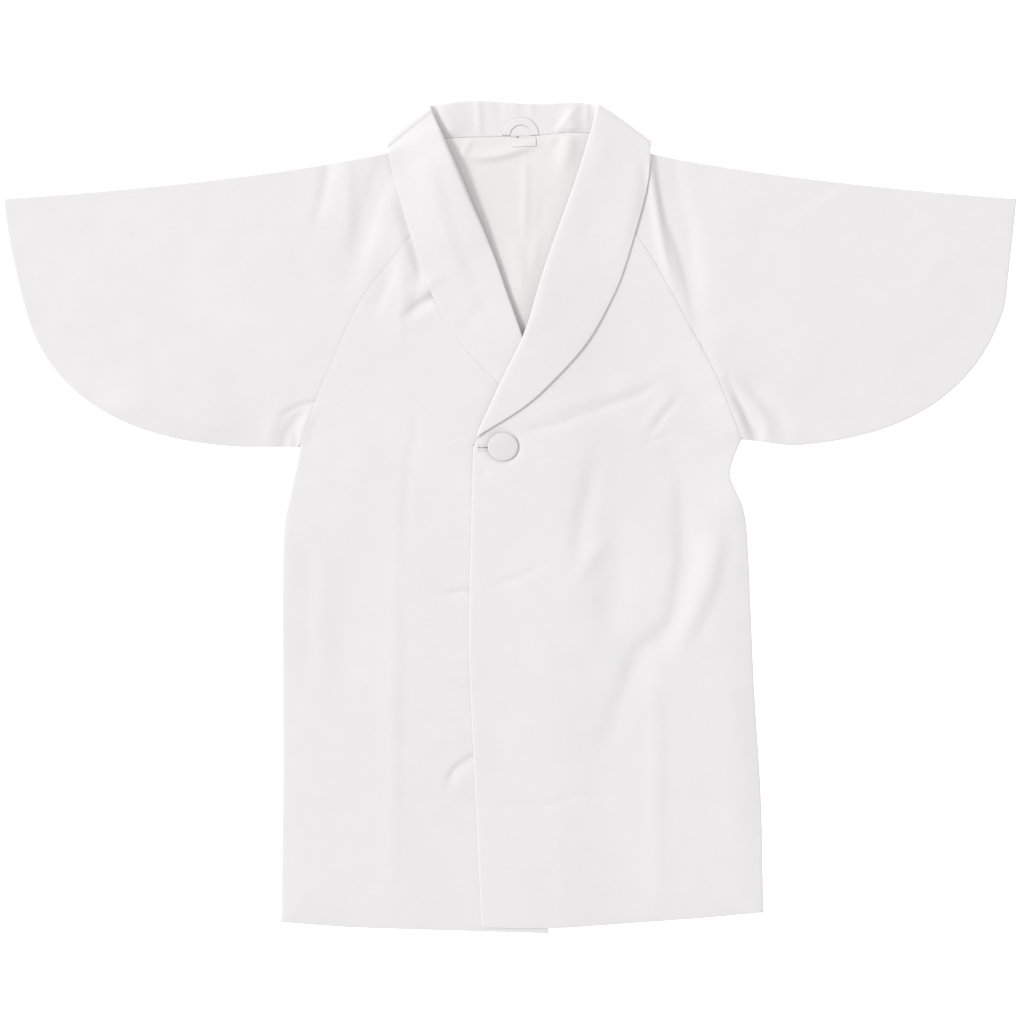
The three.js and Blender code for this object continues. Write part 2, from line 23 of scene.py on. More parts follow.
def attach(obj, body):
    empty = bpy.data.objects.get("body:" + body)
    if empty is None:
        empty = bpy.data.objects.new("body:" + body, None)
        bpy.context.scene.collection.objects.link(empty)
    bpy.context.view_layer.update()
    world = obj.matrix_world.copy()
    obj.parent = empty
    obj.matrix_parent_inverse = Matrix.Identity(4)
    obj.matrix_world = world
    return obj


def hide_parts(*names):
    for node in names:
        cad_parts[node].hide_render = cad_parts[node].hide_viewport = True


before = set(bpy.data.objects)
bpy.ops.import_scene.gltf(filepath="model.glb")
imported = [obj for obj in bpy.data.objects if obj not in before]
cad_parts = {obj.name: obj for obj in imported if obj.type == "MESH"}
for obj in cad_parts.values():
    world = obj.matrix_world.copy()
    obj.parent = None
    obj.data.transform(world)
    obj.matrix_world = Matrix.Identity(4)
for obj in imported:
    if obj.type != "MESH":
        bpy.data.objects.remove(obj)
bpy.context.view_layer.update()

MM = 0.001
scene = bpy.context.scene


def placed(name, data):
    """A new object in the scene."""
    thing = bpy.data.objects.new(name, data)
    scene.collection.objects.link(thing)
    return thing


# %% [markdown]
# ## Camera
#
# The coat is seen from straight above, from the neck at the top to the hem at the bottom.
# A long lens a few metres up keeps the cuffs from leaning outwards. The camera only needs
# the width that it should take in.

# %% Camera
VIEW_CENTRE = (0.0019, 0.0046)
VIEW_WIDTH = 0.951
LENS, SENSOR = 135.0, 36.0

camera_data = bpy.data.cameras.new("camera_above")
camera_data.lens, camera_data.sensor_width = LENS, SENSOR
camera = placed("camera_above", camera_data)
camera.location = (*VIEW_CENTRE, VIEW_WIDTH * LENS / SENSOR)
scene.camera = camera
print("camera height:", round(camera.location.z, 3), "m")

# %% [markdown]
# ## Floor and light
#
# White cloth on a white floor only reads through its shading. A soft light from the left
# gives each fold a bright side and a dark side, a weak one from the neck end does the same
# for folds that run across, and a bright sky all round keeps the shadows pale. The floor is a
# little whiter than the cloth, so the outline shows.

# %% Floor, sky, key light and fill light
KEY_FROM, KEY_STRENGTH, KEY_ANGLE = (-4.05, 1.0, 3.8), 1.53, math.radians(14)
FILL_FROM, FILL_WATTS, FILL_SIZE = (-1.3, 2.0, 1.6), 8.0, 1.6
SKY_STRENGTH = 0.737
FLOOR_WHITE = 0.95
FLOOR_GLOW = 0.60

scene.view_settings.view_transform = "Standard"

sky = bpy.data.worlds.new("soft_sky")
sky.use_nodes = True
sky.node_tree.nodes["Background"].inputs["Color"].default_value = (1.0, 0.998, 0.996, 1)
sky.node_tree.nodes["Background"].inputs["Strength"].default_value = SKY_STRENGTH
scene.world = sky


def aimed_light(name, kind, place, strength):
    """A light that points at the coat from a place."""
    data = bpy.data.lights.new(name, kind)
    data.energy = strength
    light = placed(name, data)
    light.location = place
    light.rotation_mode = "QUATERNION"
    light.rotation_quaternion = (-Vector(place)).to_track_quat("-Z", "Y")
    return data


aimed_light("key_light", "SUN", KEY_FROM, KEY_STRENGTH).angle = KEY_ANGLE
fill = aimed_light("fill_light", "AREA", FILL_FROM, FILL_WATTS)
fill.shape, fill.size = "DISK", FILL_SIZE

floor_mesh = bpy.data.meshes.new("floor")
FLOOR_HALF, FLOOR_DROP = 6.0, 0.3 * MM
floor_corners = [(-1, -1), (1, -1), (1, 1), (-1, 1)]
floor_mesh.from_pydata(
    [(x * FLOOR_HALF, y * FLOOR_HALF, -FLOOR_DROP) for x, y in floor_corners], [], [(0, 1, 2, 3)]
)
floor = placed("floor", floor_mesh)

floor_white = bpy.data.materials.new("floor_white")
floor_white.use_nodes = True
floor_shader = floor_white.node_tree.nodes["Principled BSDF"]
floor_shader.inputs["Base Color"].default_value = (FLOOR_WHITE, FLOOR_WHITE, FLOOR_WHITE, 1)
floor_shader.inputs["Roughness"].default_value = 0.9
floor_shader.inputs["Specular IOR Level"].default_value = 0.0
floor_shader.inputs["Emission Color"].default_value = (1, 1, 1, 1)
floor_shader.inputs["Emission Strength"].default_value = FLOOR_GLOW
floor_mesh.materials.append(floor_white)
print("key light at", KEY_FROM, "and sky at", SKY_STRENGTH)

# %% [markdown]
# ## Lines and distances
#
# Everything that follows is worked out in plan, as the cutter sees the coat on a table. A
# smooth line through a few marks gives each edge, and the distance from any point to a
# line says how near it is to a fold, a seam or an edge. NumPy works on all the points of a
# panel at once.

# %% Smooth lines and distances to them
def smooth_line(marks, count):
    """count + 1 places on a smooth curve through the marks."""
    marks = np.asarray(marks, float)
    last = len(marks) - 1
    at = np.linspace(0, last, count + 1)
    first = np.minimum(at.astype(int), last - 1)
    w = (at - first)[:, None]
    p0, p1, p2, p3 = (marks[np.clip(first + step, 0, last)] for step in (-1, 0, 1, 2))
    v0, v1 = (p2 - p0) / 2, (p3 - p1) / 2
    return (2 * p1 - 2 * p2 + v0 + v1) * w**3 + (3 * p2 - 3 * p1 - 2 * v0 - v1) * w**2 + v0 * w + p1


def near_line(points, line, reach):
    """How far each point is from a line, up to reach, how far along that is, and the side.

    The side is above 0 to the left of the way the line runs."""
    lengths = np.linalg.norm(np.diff(line, axis=0), axis=1)
    starts = np.concatenate([[0], np.cumsum(lengths)])
    nearest, along, side = np.full(len(points), reach), np.zeros(len(points)), np.zeros(len(points))
    for first in range(0, len(lengths), 8):
        part = line[first : first + 9]
        inside = (points > part.min(0) - reach) & (points < part.max(0) + reach)
        close = np.flatnonzero(inside.all(axis=1))
        if len(close) == 0:
            continue
        run = np.diff(part, axis=0)
        offset = points[close][:, None] - part[:-1]
        share = np.clip((offset * run).sum(-1) / np.maximum((run * run).sum(-1), 1e-18), 0, 1)
        away = np.linalg.norm(offset - share[..., None] * run, axis=-1)
        best = (np.arange(len(close)), away.argmin(axis=1))
        places = starts[first : first + len(run)] + share * lengths[first : first + len(run)]
        turned_to = run[:, 0] * offset[..., 1] - run[:, 1] * offset[..., 0]
        closer = away[best] < nearest[close]
        chosen = close[closer]
        nearest[chosen] = away[best][closer]
        along[chosen] = places[best][closer]
        side[chosen] = turned_to[best][closer]
    return nearest, along / starts[-1], side


def distance_to(points, lines, reach):
    """How far each point is from the nearest of some lines, up to reach."""
    return np.min([near_line(points, line, reach)[0] for line in lines], axis=0)


def within(points, outline):
    """Which of the points lie inside a closed outline."""
    x, y = points.T
    inside = np.zeros(len(points), bool)
    for (ax, ay), (bx, by) in zip(outline, np.roll(outline, -1, axis=0)):
        if ay != by:
            inside ^= ((ay > y) != (by > y)) & (x < (bx - ax) * (y - ay) / (by - ay) + ax)
    return inside


def closed(outline):
    return np.vstack([outline, outline[:1]])


def soft_step(value, low, high):
    t = np.clip((value - low) / (high - low), 0, 1)
    return t * t * (3 - 2 * t)


print("a quarter of the way along a bent line:", smooth_line([(0, 0), (1, 1), (2, 0)], 4)[1])

# %% [markdown]
# ## Outlines of the panels
#
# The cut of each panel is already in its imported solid, so the outline is read from there
# and can't drift from it: the faces that look up are joined, and the line round them is
# the edge. It comes back as short straight runs. Those are spaced evenly and eased between
# the real corners, as a cutter would draw them.

# %% Read the outlines
RIM_SPACING = 2.5 * MM
CORNER_TURN, STRAIGHT_TURN = math.radians(24), math.radians(0.4)
LOOKS_UP = 0.3
EASING_ROUNDS = 8


def loops_round_top(node):
    """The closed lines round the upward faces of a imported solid, the longest first."""
    solid = bmesh.new()
    solid.from_mesh(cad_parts[node].data)
    bmesh.ops.remove_doubles(solid, verts=solid.verts, dist=1e-6)
    solid.normal_update()
    top = dict.fromkeys(face for face in solid.faces if face.normal.z > LOOKS_UP)
    follow = {}
    for face in top:
        for corner in face.loops:
            if not any(other in top for other in corner.edge.link_faces if other is not face):
                follow[corner.vert] = corner.link_loop_next.vert
    loops = []
    while follow:
        vert, loop = next(iter(follow)), []
        while vert in follow:
            loop.append(tuple(vert.co.xy))
            vert = follow.pop(vert)
        loops.append(np.array(loop))
    solid.free()
    return sorted(loops, key=lambda loop: -np.ptp(loop, axis=0).sum())


def turn_at(loop):
    """How sharply an outline turns at each of its points."""
    before, after = loop - np.roll(loop, 1, axis=0), np.roll(loop, -1, axis=0) - loop
    cross = before[:, 0] * after[:, 1] - before[:, 1] * after[:, 0]
    return np.abs(np.arctan2(cross, (before * after).sum(axis=1)))


def eased_outline(loop):
    """The outline with even spacing, smooth between its corners, and each corner kept."""
    loop = loop[turn_at(loop) > STRAIGHT_TURN]
    corners = np.flatnonzero(turn_at(loop) > CORNER_TURN)
    runs = []
    for first, last in zip(corners, np.roll(corners, -1)):
        run = loop[np.arange(first, last + (len(loop) if last <= first else 0) + 1) % len(loop)]
        reach = np.concatenate([[0], np.cumsum(np.linalg.norm(np.diff(run, axis=0), axis=1))])
        count = max(2, round(reach[-1] / RIM_SPACING))
        at = np.linspace(0, reach[-1], count + 1)
        run = np.column_stack([np.interp(at, reach, axis) for axis in run.T])
        for _ in range(EASING_ROUNDS):
            run[1:-1] = (run[:-2] + 2 * run[1:-1] + run[2:]) / 4
        runs.append(run[:-1])
    return np.vstack(runs)


PANELS = [
    "back", "back_lining", "front_right", "front_left",
    "sleeve_right_back", "sleeve_right_front", "sleeve_left_back", "sleeve_left_front",
]
outlines = {name: eased_outline(loops_round_top(name)[0]) for name in PANELS}
SEWN_PAIRS = [
    ("front_right", "sleeve_right_front"), ("front_left", "sleeve_left_front"),
    ("back", "sleeve_right_back"), ("back", "sleeve_left_back"),
]
SEAM_GAP, SEAM_CLOSED = 0.3 * MM, 0.42


def inset(outline, depth):
    """The outline moved inwards, or outwards for a depth below 0."""
    along = np.roll(outline, -1, axis=0) - np.roll(outline, 1, axis=0)
    along /= np.linalg.norm(along, axis=1)[:, None]
    return outline + depth * np.column_stack([-along[:, 1], along[:, 0]])


def sewn_part(outline, other):
    return near_line(outline, closed(other), 4 * SEAM_GAP)[0] < 3 * SEAM_GAP


for name, other in SEWN_PAIRS:
    pair = ((name, other), (other, name))
    sewn_parts = [sewn_part(outlines[panel], outlines[facing]) for panel, facing in pair]
    for (panel, _), part in zip(pair, sewn_parts):
        outlines[panel][part] = inset(outlines[panel], -SEAM_CLOSED * SEAM_GAP)[part]
for name, outline in outlines.items():
    print(name, len(outline), "points round the edge")

# %% [markdown]
# ## The collar's pattern
#
# A shawl collar is one long band that folds over itself. Its stand is sewn to the neck, it
# turns at the roll line, and its fall lies on the fronts. Each row of the tables is a place
# along the band, with the roll, the outer edge and the width of the stand. The collar is
# drawn here, before the panels, because the panels step over it.

# %% Collar tables, in metres
# roll x, roll y, edge x, edge y, stand width
COLLAR_FRONT = {
    "right": [
        (0.0460, 0.0720, 0.0380, 0.0760, 0.003),
        (0.0340, 0.1040, 0.0120, 0.1030, 0.008),
        (0.0220, 0.1380, -0.0180, 0.1310, 0.010),
        (0.0100, 0.1730, -0.0460, 0.1620, 0.010),
        (-0.0030, 0.2090, -0.0670, 0.1950, 0.010),
        (-0.0160, 0.2460, -0.0820, 0.2310, 0.010),
        (-0.0410, 0.3050, -0.1030, 0.2970, 0.010),
        (-0.0590, 0.3470, -0.1115, 0.3310, 0.005),
    ],
    "left": [
        (-0.0308, 0.0732, -0.0262, 0.0772, 0.003),
        (-0.0180, 0.1050, 0.0120, 0.1010, 0.008),
        (-0.0055, 0.1320, 0.0400, 0.1260, 0.010),
        (0.0140, 0.1730, 0.0710, 0.1610, 0.010),
        (0.0297, 0.2250, 0.0940, 0.2010, 0.010),
        (0.0410, 0.2580, 0.1080, 0.2360, 0.010),
        (0.0604, 0.3120, 0.1260, 0.3000, 0.010),
        (0.0715, 0.3474, 0.1300, 0.3280, 0.005),
    ],
}
# At each neck corner the fall folds over the shoulder: roll, edge and neck seam.
COLLAR_CORNER = {
    "right": ((-0.0725, 0.3838), (-0.1135, 0.3500), (-0.0670, 0.3500)),
    "left": ((0.0800, 0.3856), (0.1295, 0.3500), (0.0820, 0.3545)),
}
# Behind the neck, from the corner to the centre back: roll, edge and neck seam.
CENTRE_BACK = ((0.0072, 0.3845), (0.0072, 0.3223), (0.0072, 0.3524))
COLLAR_BACK = {
    "right": [
        ((-0.0450, 0.3862), (-0.0660, 0.3260), (-0.0450, 0.3513)),
        ((-0.0200, 0.3864), (-0.0250, 0.3230), (-0.0200, 0.3518)),
        CENTRE_BACK,
    ],
    "left": [
        ((0.0570, 0.3852), (0.0760, 0.3270), (0.0570, 0.3562)),
        ((0.0300, 0.3840), (0.0340, 0.3235), (0.0300, 0.3536)),
        CENTRE_BACK,
    ],
}


def front_fall_outline(side):
    rows = np.array(COLLAR_FRONT[side])
    return np.vstack([smooth_line(rows[:, 0:2], 28), smooth_line(rows[:, 2:4], 28)[::-1]])


def back_fall_outline():
    edges = [
        smooth_line([COLLAR_CORNER[side][1], *(row[1] for row in COLLAR_BACK[side])], 12)
        for side in ("right", "left")
    ]
    rolls = [COLLAR_CORNER["left"][0], COLLAR_CORNER["right"][0]]
    return np.vstack([edges[0], edges[1][::-1], rolls])


fall_of_right, fall_behind = front_fall_outline("right"), back_fall_outline()
print("the fall behind the neck reaches down to y =", round(fall_behind[:, 1].min(), 4))

# %% [markdown]
# ## How the layers stack
#
# Cloth that lies over an edge stays level past it and then comes down softly. `cover`
# measures that: 1 over the layer below, 0 well away from it. Each layer's height is the one
# below it, plus a thickness of cloth and a little air. Near the coat's own outline the
# upper cloth rolls down to meet the back, and further in it floats a few millimetres up.

# %% Heights of the layers
SHELL = 1.2 * MM
LINING = 1.0 * MM
COLLAR = 1.3 * MM
AIR = 0.4 * MM
BACK_RISE = 2.3 * MM
FALL_STEP = 3.3 * MM
STEP_LEVEL = 3 * MM
FALL_RUN, BACK_RUN, UNDER_RUN, LINING_RUN = 100 * MM, 60 * MM, 60 * MM, 80 * MM
ROLL_HEIGHT, ROLL_REACH = 0.45 * MM, 2.0 * MM
LOFT, LOFT_REACH, CUFF_REACH, CUFF_LOFT = 1.9 * MM, 18 * MM, 100 * MM, 0.4
EDGE_HEIGHT, EDGE_REACH = 0.35 * MM, 5.0 * MM
SEAM_DIP, SEAM_REACH = 0.2 * MM, 1.3 * MM
LEAST_AIR, EASE_UP = 0.1 * MM, 0.25 * MM
NECK_CORNER = 0.3385
BUTTON_CENTRE = np.array((-0.0065, 0.0650))
BUTTON_DIP, DIP_INNER, DIP_OUTER = 1.6 * MM, 12 * MM, 19 * MM


def cover(points, outline, run):
    away = near_line(points, closed(outline), STEP_LEVEL + run)[0]
    away[within(points, outline)] = 0
    return 1 - soft_step(away, STEP_LEVEL, STEP_LEVEL + run)


def rolled(away, height, reach):
    """The round rise of cloth that turns over at an edge."""
    return height * np.sqrt(1 - (1 - np.clip(away / reach, 0, 1)) ** 2)


def kept_above(level, lowest):
    """The level, eased up wherever a fold would push it into the layer below."""
    return lowest + EASE_UP * np.logaddexp(0, (level - lowest) / EASE_UP)


def stretch_of(outline, keep):
    """The longest run of an outline whose points are kept."""
    runs, current = [], []
    for point, kept in zip(np.vstack([outline, outline]), np.tile(keep, 2)):
        if kept and len(current) < len(outline):
            current.append(point)
        elif current:
            runs.append(current)
            current = []
    runs.append(current)
    return np.array(max(runs, key=len))


def outer_edge(name, neighbour):
    """The part of a panel's edge that has no neighbour sewn to it, and isn't at the neck."""
    outline = outlines[name]
    away = near_line(outline, closed(outlines[neighbour]), 2 * MM)[0]
    return stretch_of(outline, (away > 1.5 * MM) & (outline[:, 1] < NECK_CORNER))


def marks_between(outline, first, last):
    """The run of an outline from near one place to near another, anticlockwise."""
    start = np.argmin(np.linalg.norm(outline - first, axis=1))
    end = np.argmin(np.linalg.norm(outline - last, axis=1))
    return outline[np.arange(start, end + (len(outline) if end < start else 0) + 1) % len(outline)]


sleeve_edges = [
    outer_edge("sleeve_right_front", "front_right"),
    outer_edge("sleeve_left_front", "front_left"),
]
UNDERARM = {"right": (-0.195, 0.065), "left": (0.2146, 0.072)}
hem_right = marks_between(outlines["front_right"], UNDERARM["right"], (0.0353, -0.3865))
hem_left = marks_between(outlines["front_left"], (-0.0264, -0.381), UNDERARM["left"])
OVER_EDGE = marks_between(outlines["front_left"], (-0.033, 0.066), (-0.0264, -0.381))
RAGLAN_SEAMS = [
    marks_between(outlines["front_right"], (-0.085, 0.272), UNDERARM["right"]),
    marks_between(outlines["front_left"], UNDERARM["left"], (0.105, 0.276)),
]
BACK_SEAMS = [
    outlines["back"][sewn_part(outlines["back"], outlines[name])]
    for name in ("sleeve_right_back", "sleeve_left_back")
]
NECK_SEAM = marks_between(outlines["back_lining"], (0.0775, 0.3547), (-0.0674, 0.3498))
LAP = 0.9 * MM
lapped = near_line(outlines["back_lining"], NECK_SEAM, MM)[0] < 0.1 * MM
outlines["back_lining"][lapped] = inset(outlines["back_lining"], -LAP)[lapped]
NECK_RIM = marks_between(outlines["back_lining"], NECK_SEAM[0], NECK_SEAM[-1])
for line in (*sleeve_edges, hem_right, hem_left, OVER_EDGE, *RAGLAN_SEAMS, NECK_SEAM):
    print("a line of", len(line), "points from", np.round(line[0], 3), "to", np.round(line[-1], 3))

# %% [markdown]
# ## Folds and creases
#
# Nothing tells cloth from board as well as its folds. They could come from a cloth
# simulation, but these are the ones that this coat has, so they are listed one by one: each
# is a line in plan with a half width on each side and a height. A positive height is a
# ridge and a negative one a trough, and both fade out at the ends of the line.

# %% Tables of folds: line, half width on its left and on its right, height, in millimetres
SHARED_FOLDS = [
    # shoulder of the right sleeve
    ([(-106, 352), (-112, 325), (-125, 297), (-136, 262), (-146, 222)], 9, 13, -2.6),
    ([(-152, 352), (-150, 300), (-149, 250)], 6, 12, 1.0),
    ([(-165, 345), (-173, 300), (-183, 262)], 6, 5, -1.3),
    ([(-174, 300), (-180, 262)], 5, 7, 0.4),
    # roll along the bottom of the right sleeve
    ([(-388, 100), (-362, 87), (-344, 80), (-306, 68), (-269, 62), (-236, 59)], 14, 8, -2.4),
    ([(-392, 118), (-366, 106), (-344, 100), (-306, 88), (-269, 82), (-240, 79)], 28, 14, 4.2),
    # under the right arm
    ([(-174, 107), (-190, 105), (-203, 99), (-213, 92)], 1.8, 1.6, -2.4),
    ([(-189, 101), (-199, 87), (-206, 75), (-209, 54)], 2.8, 4.6, -2.6),
    ([(-212, 102), (-220, 84), (-223, 60)], 5, 8, 0.8),
    ([(-181, 100), (-190, 84), (-194, 62)], 4, 4, 0.9),
    ([(-200, 82), (-199, 56)], 2, 1.5, -2.2),
    # deep fold where the left sleeve meets the collar
    ([(134, 400), (138, 338), (141, 310), (146, 282), (156, 252), (165, 218), (175, 168)], 13, 4.6, -3.0),
    ([(135, 372), (141, 318), (147, 284)], 7, 2.8, -2.0),
    ([(146, 372), (149, 318), (155, 290), (165, 255), (176, 220)], 12, 10, -1.4),
    ([(127, 350), (132, 312), (142, 252), (153, 212)], 3.8, 4.5, 2.6),
    # under the left arm
    ([(202, 126), (213, 106), (222, 88), (228, 76), (228.5, 58)], 3.8, 3.8, -4.0),
    ([(207, 128), (233, 108), (250, 92), (257, 68)], 7, 7, -1.2),
    ([(211, 126), (227, 106), (238, 84), (240, 62)], 5, 4.5, 1.2),
    # broad dents in the sleeves
    ([(-448, 262), (-440, 215), (-424, 165)], 26, 18, -0.6),
    ([(-300, 268), (-262, 262), (-215, 265)], 6, 10, -0.35),
    ([(-330, 205), (-282, 214), (-236, 206)], 12, 9, 0.35),
    ([(250, 300), (232, 262), (222, 225)], 16, 10, -0.5),
    ([(372, 292), (380, 240)], 18, 14, -0.4),
    ([(300, 190), (345, 165), (395, 150)], 16, 12, 0.5),
    ([(308, 303), (284, 285), (258, 264)], 4, 5, 0.35),
]
RIGHT_FOLDS = [
    # beside the collar
    ([(-50, 214), (-68, 206), (-82, 198), (-98, 187)], 6, 3.4, -3.6),
    ([(-56, 226), (-76, 215), (-100, 203)], 4, 6, 0.8),
    ([(-104, 300), (-98, 280), (-91, 256), (-84, 232), (-80, 218)], 3, 5.5, -2.4),
    ([(-100, 240), (-99, 202), (-102, 160)], 4, 6, 0.7),
    ([(-88, 248), (-85, 228), (-90, 190)], 5, 4, -0.8),
    ([(-108, 240), (-116, 212), (-127, 186)], 6, 10, -1.5),
    # pressed crease down the right front
    ([(-86, 120), (-88, 76), (-95, 40), (-98, -34)], 5, 4, -0.45),
    ([(-107, -20), (-108, -170), (-110, -376)], 8, 9, 0.7),
    # broad dents and bulges
    ([(-190, -20), (-188, -96), (-190, -175)], 10, 22, -1.0),
    ([(-150, -20), (-148, -96), (-152, -175)], 26, 24, -1.4),
    ([(-212, 10), (-213, -60), (-213, -150)], 22, 6, 1.5),
    ([(-138, 60), (-150, 10), (-148, -40)], 16, 16, 0.6),
    ([(-140, 30), (-100, 36)], 14, 14, -0.4),
    ([(-150, 120), (-60, 60)], 18, 18, -0.4),
    ([(-85, -20), (-82, -120), (-86, -200)], 12, 12, 0.35),
    # tucks and dents at the front edge
    ([(-28, -216), (-40, -225), (-51, -233), (-60, -250)], 5, 1.8, -1.6),
    ([(-40, -238), (-48, -256)], 6, 7, 0.5),
    ([(-26, -67), (-40, -68), (-60, -70)], 2.6, 1.8, -1.4),
    ([(-52, -78), (-34, -77)], 4, 4, 0.4),
    ([(-60, -22), (-40, -20), (-28, -24)], 2.4, 2.4, -0.5),
    ([(-56, -150), (-38, -158), (-28, -160)], 3, 3, -0.6),
    ([(-83, -187), (-52, -192), (-30, -202)], 3, 2.4, -0.7),
    ([(-76, -200), (-48, -208), (-30, -212)], 4, 4, 0.4),
    ([(-62, -130), (-36, -134)], 4, 4, 0.3),
    ([(-106, -258), (-65, -262), (-28, -266)], 3, 3, -0.5),
]
LEFT_FOLDS = [
    # down from the chest to the left hip
    ([(80, 60), (75, 34), (69, 6), (64, -21), (61, -50)], 9, 8, -1.4),
    ([(92, -16), (75, -41), (56, -64)], 7, 9, 0.9),
    ([(150, 58), (159, 32), (162, -32), (159, -57), (153, -92), (141, -110), (121, -125),
      (111, -152), (103, -172), (94, -193), (83, -212)], 15, 9, -2.4),
    ([(195, -2), (191, -26), (185, -57), (173, -83), (163, -104), (150, -128)], 9, 13, 1.9),
    ([(202, -16), (199, -46), (192, -75), (180, -100), (165, -128)], 7, 5, -0.5),
    ([(96, -16), (98, -60), (91, -112)], 18, 18, -1.7),
    # beside the button and across the chest
    ([(-20, -66), (6, -57), (34, -44)], 4, 4, -0.8),
    ([(123, 80), (136, 97), (152, 115)], 5, 3, 0.7),
    ([(128, 72), (142, 93), (161, 115)], 2.4, 2.4, -0.8),
    ([(122, 65), (136, 71), (152, 79)], 2.4, 2.4, -0.6),
    ([(8, 88), (50, 102), (100, 116), (136, 132)], 9, 4, 0.9),
    ([(8, 78), (26, 82), (46, 87), (66, 96)], 3, 5, -1.0),
    ([(58, 91), (92, 104), (118, 113), (142, 127)], 3, 5, -1.1),
    ([(20, 54), (37, 54), (64, 52)], 2.2, 2.2, -0.35),
    ([(-20, 42), (-30, 38)], 3, 3, -0.6),
    # pressed creases down and across the left front
    ([(135, -130), (136, -226), (136, -378)], 9, 9, 0.8),
    ([(45, -275), (47, -320), (48, -380)], 7, 7, 0.3),
    ([(-44, -264), (-23, -268), (12, -268), (40, -266), (61, -260), (96, -259)], 2.6, 2.2, -0.55),
    # the cloth stands up at the side under the arm
    ([(206, 62), (211, 30), (214, -8)], 16, 20, 2.8),
    ([(178, 184), (194, 146), (207, 108)], 30, 24, 2.0),
    ([(203, 125), (212, 98), (216, 66)], 9, 24, 3.0),
    ([(180, 60), (178, 10), (186, -20)], 16, 16, 0.5),
    ([(206, -130), (214, -230), (216, -330)], 14, 18, 0.8),
    ([(30, -100), (28, -200)], 22, 22, 0.4),
]
NECK_FOLDS = [
    # stand of the collar
    ([(-66, 386), (-57, 366), (-50, 350)], 15, 6, 2.4),
    ([(-31, 392), (-29, 372), (-28.5, 352)], 3.2, 2.4, 1.3),
    ([(-10, 390), (-9, 366)], 2.4, 2.4, -0.8),
    ([(4, 390), (6, 372)], 3, 5, 0.6),
    ([(20, 392), (20, 371)], 2.4, 2.4, 0.6),
    ([(66, 386), (52, 369), (43, 356), (33, 340)], 3, 4, 1.5),
    ([(62, 382), (47, 368), (38, 354)], 2.4, 2.6, -0.8),
    ([(58, 384), (56, 362), (53, 340), (48, 318)], 8, 8, 3.0),
    ([(71.5, 388), (71, 362)], 2, 2, 0.8),
    # puff of the lining under the neck seam
    ([(-42, 334), (-20, 333), (-3, 336), (10, 340), (26, 345)], 6, 2.6, 2.8),
    ([(-46, 332), (-40, 343), (-35, 352)], 2.4, 2.8, 1.1),
    ([(-37, 346), (-28, 344), (-19, 340)], 2, 1.8, -0.8),
    ([(20, 346), (34, 341), (44, 336)], 2.2, 2.6, -1.0),
    # pleat and wrinkles of the lining
    ([(2, 262), (9, 225), (13, 190)], 9, 9, 1.1),
    ([(14, 337), (14, 300), (13, 256)], 3.4, 2.6, 0.9),
    ([(26, 262), (20, 226)], 3.5, 3.5, 0.6),
    ([(34, 300), (26, 262)], 4, 4, -0.4),
    ([(-10, 262), (0, 232), (6, 214)], 6, 6, -0.4),
]
COLLAR_FOLDS = [
    ([(120, 350), (119, 315), (110, 275), (101, 245)], 6, 14, 1.3),
    ([(83, 376), (85, 350), (80, 320)], 9, 8, 0.9),
    ([(17, 173), (34, 165)], 2.6, 2.6, -0.7),
    ([(50, 212), (100, 214)], 5, 5, -0.3),
    ([(-47, 170), (-32, 188), (-18, 204)], 6, 6, -0.6),
    ([(-78, 345), (-68, 290), (-50, 235), (-32, 200)], 8, 26, 1.3),
    ([(98, 202), (71, 157), (28, 112), (-8, 88)], 6, 26, 0.7),
    ([(-66, 330), (-50, 270)], 8, 8, -0.3),
    ([(88, 372), (104, 356)], 5, 5, 0.6),
]
BACK_FOLDS = [
    # low creases of the layers that rest on the surface
    ([(-120, 120), (-128, 0), (-110, -130), (-118, -250)], 7, 9, 0.3),
    ([(40, -60), (60, -190), (52, -320)], 9, 7, 0.3),
    ([(116, 60), (104, 0), (106, -60)], 6, 8, 0.25),
    ([(-400, 230), (-330, 200), (-270, 140)], 7, 7, 0.3),
    ([(280, 140), (330, 200), (400, 235)], 7, 7, 0.3),
]
# how far out a fold is felt, in half widths, the share of its length that fades at each end,
# and the share of its height that is left there
FOLD_REACH, FOLD_FADE, FOLD_AT_END = 2.6, 0.3, 0.25
# slow rises and falls: size in metres, height in millimetres, and where the noise is read
UNEVENNESS = [(0.07, 0.8, 1), (0.024, 0.25, 2), (0.011, 0.06, 3)]


def folded(points, folds):
    """The sum of the folds in a table at each point."""
    height = np.zeros(len(points))
    for marks, left, right, fold_height in folds:
        line = smooth_line(np.array(marks) * MM, 4 * len(marks))
        reach = FOLD_REACH * max(left, right) * MM
        close = np.all((points > line.min(0) - reach) & (points < line.max(0) + reach), axis=1)
        if close.any():
            away, along, side = near_line(points[close], line, reach)
            ends = soft_step(np.minimum(along, 1 - along), 0, FOLD_FADE)
            shape = np.exp(-((away / (np.where(side > 0, left, right) * MM)) ** 2))
            height[close] += fold_height * MM * shape * (FOLD_AT_END + (1 - FOLD_AT_END) * ends)
    return height


tables = (SHARED_FOLDS, RIGHT_FOLDS, LEFT_FOLDS, NECK_FOLDS, COLLAR_FOLDS, BACK_FOLDS)
print(sum(len(table) for table in tables), "folds in", len(tables), "tables")

# %% [markdown]
# Each function below gives the height of the middle of one layer. They build on each
# other, so a layer always clears the one under it.

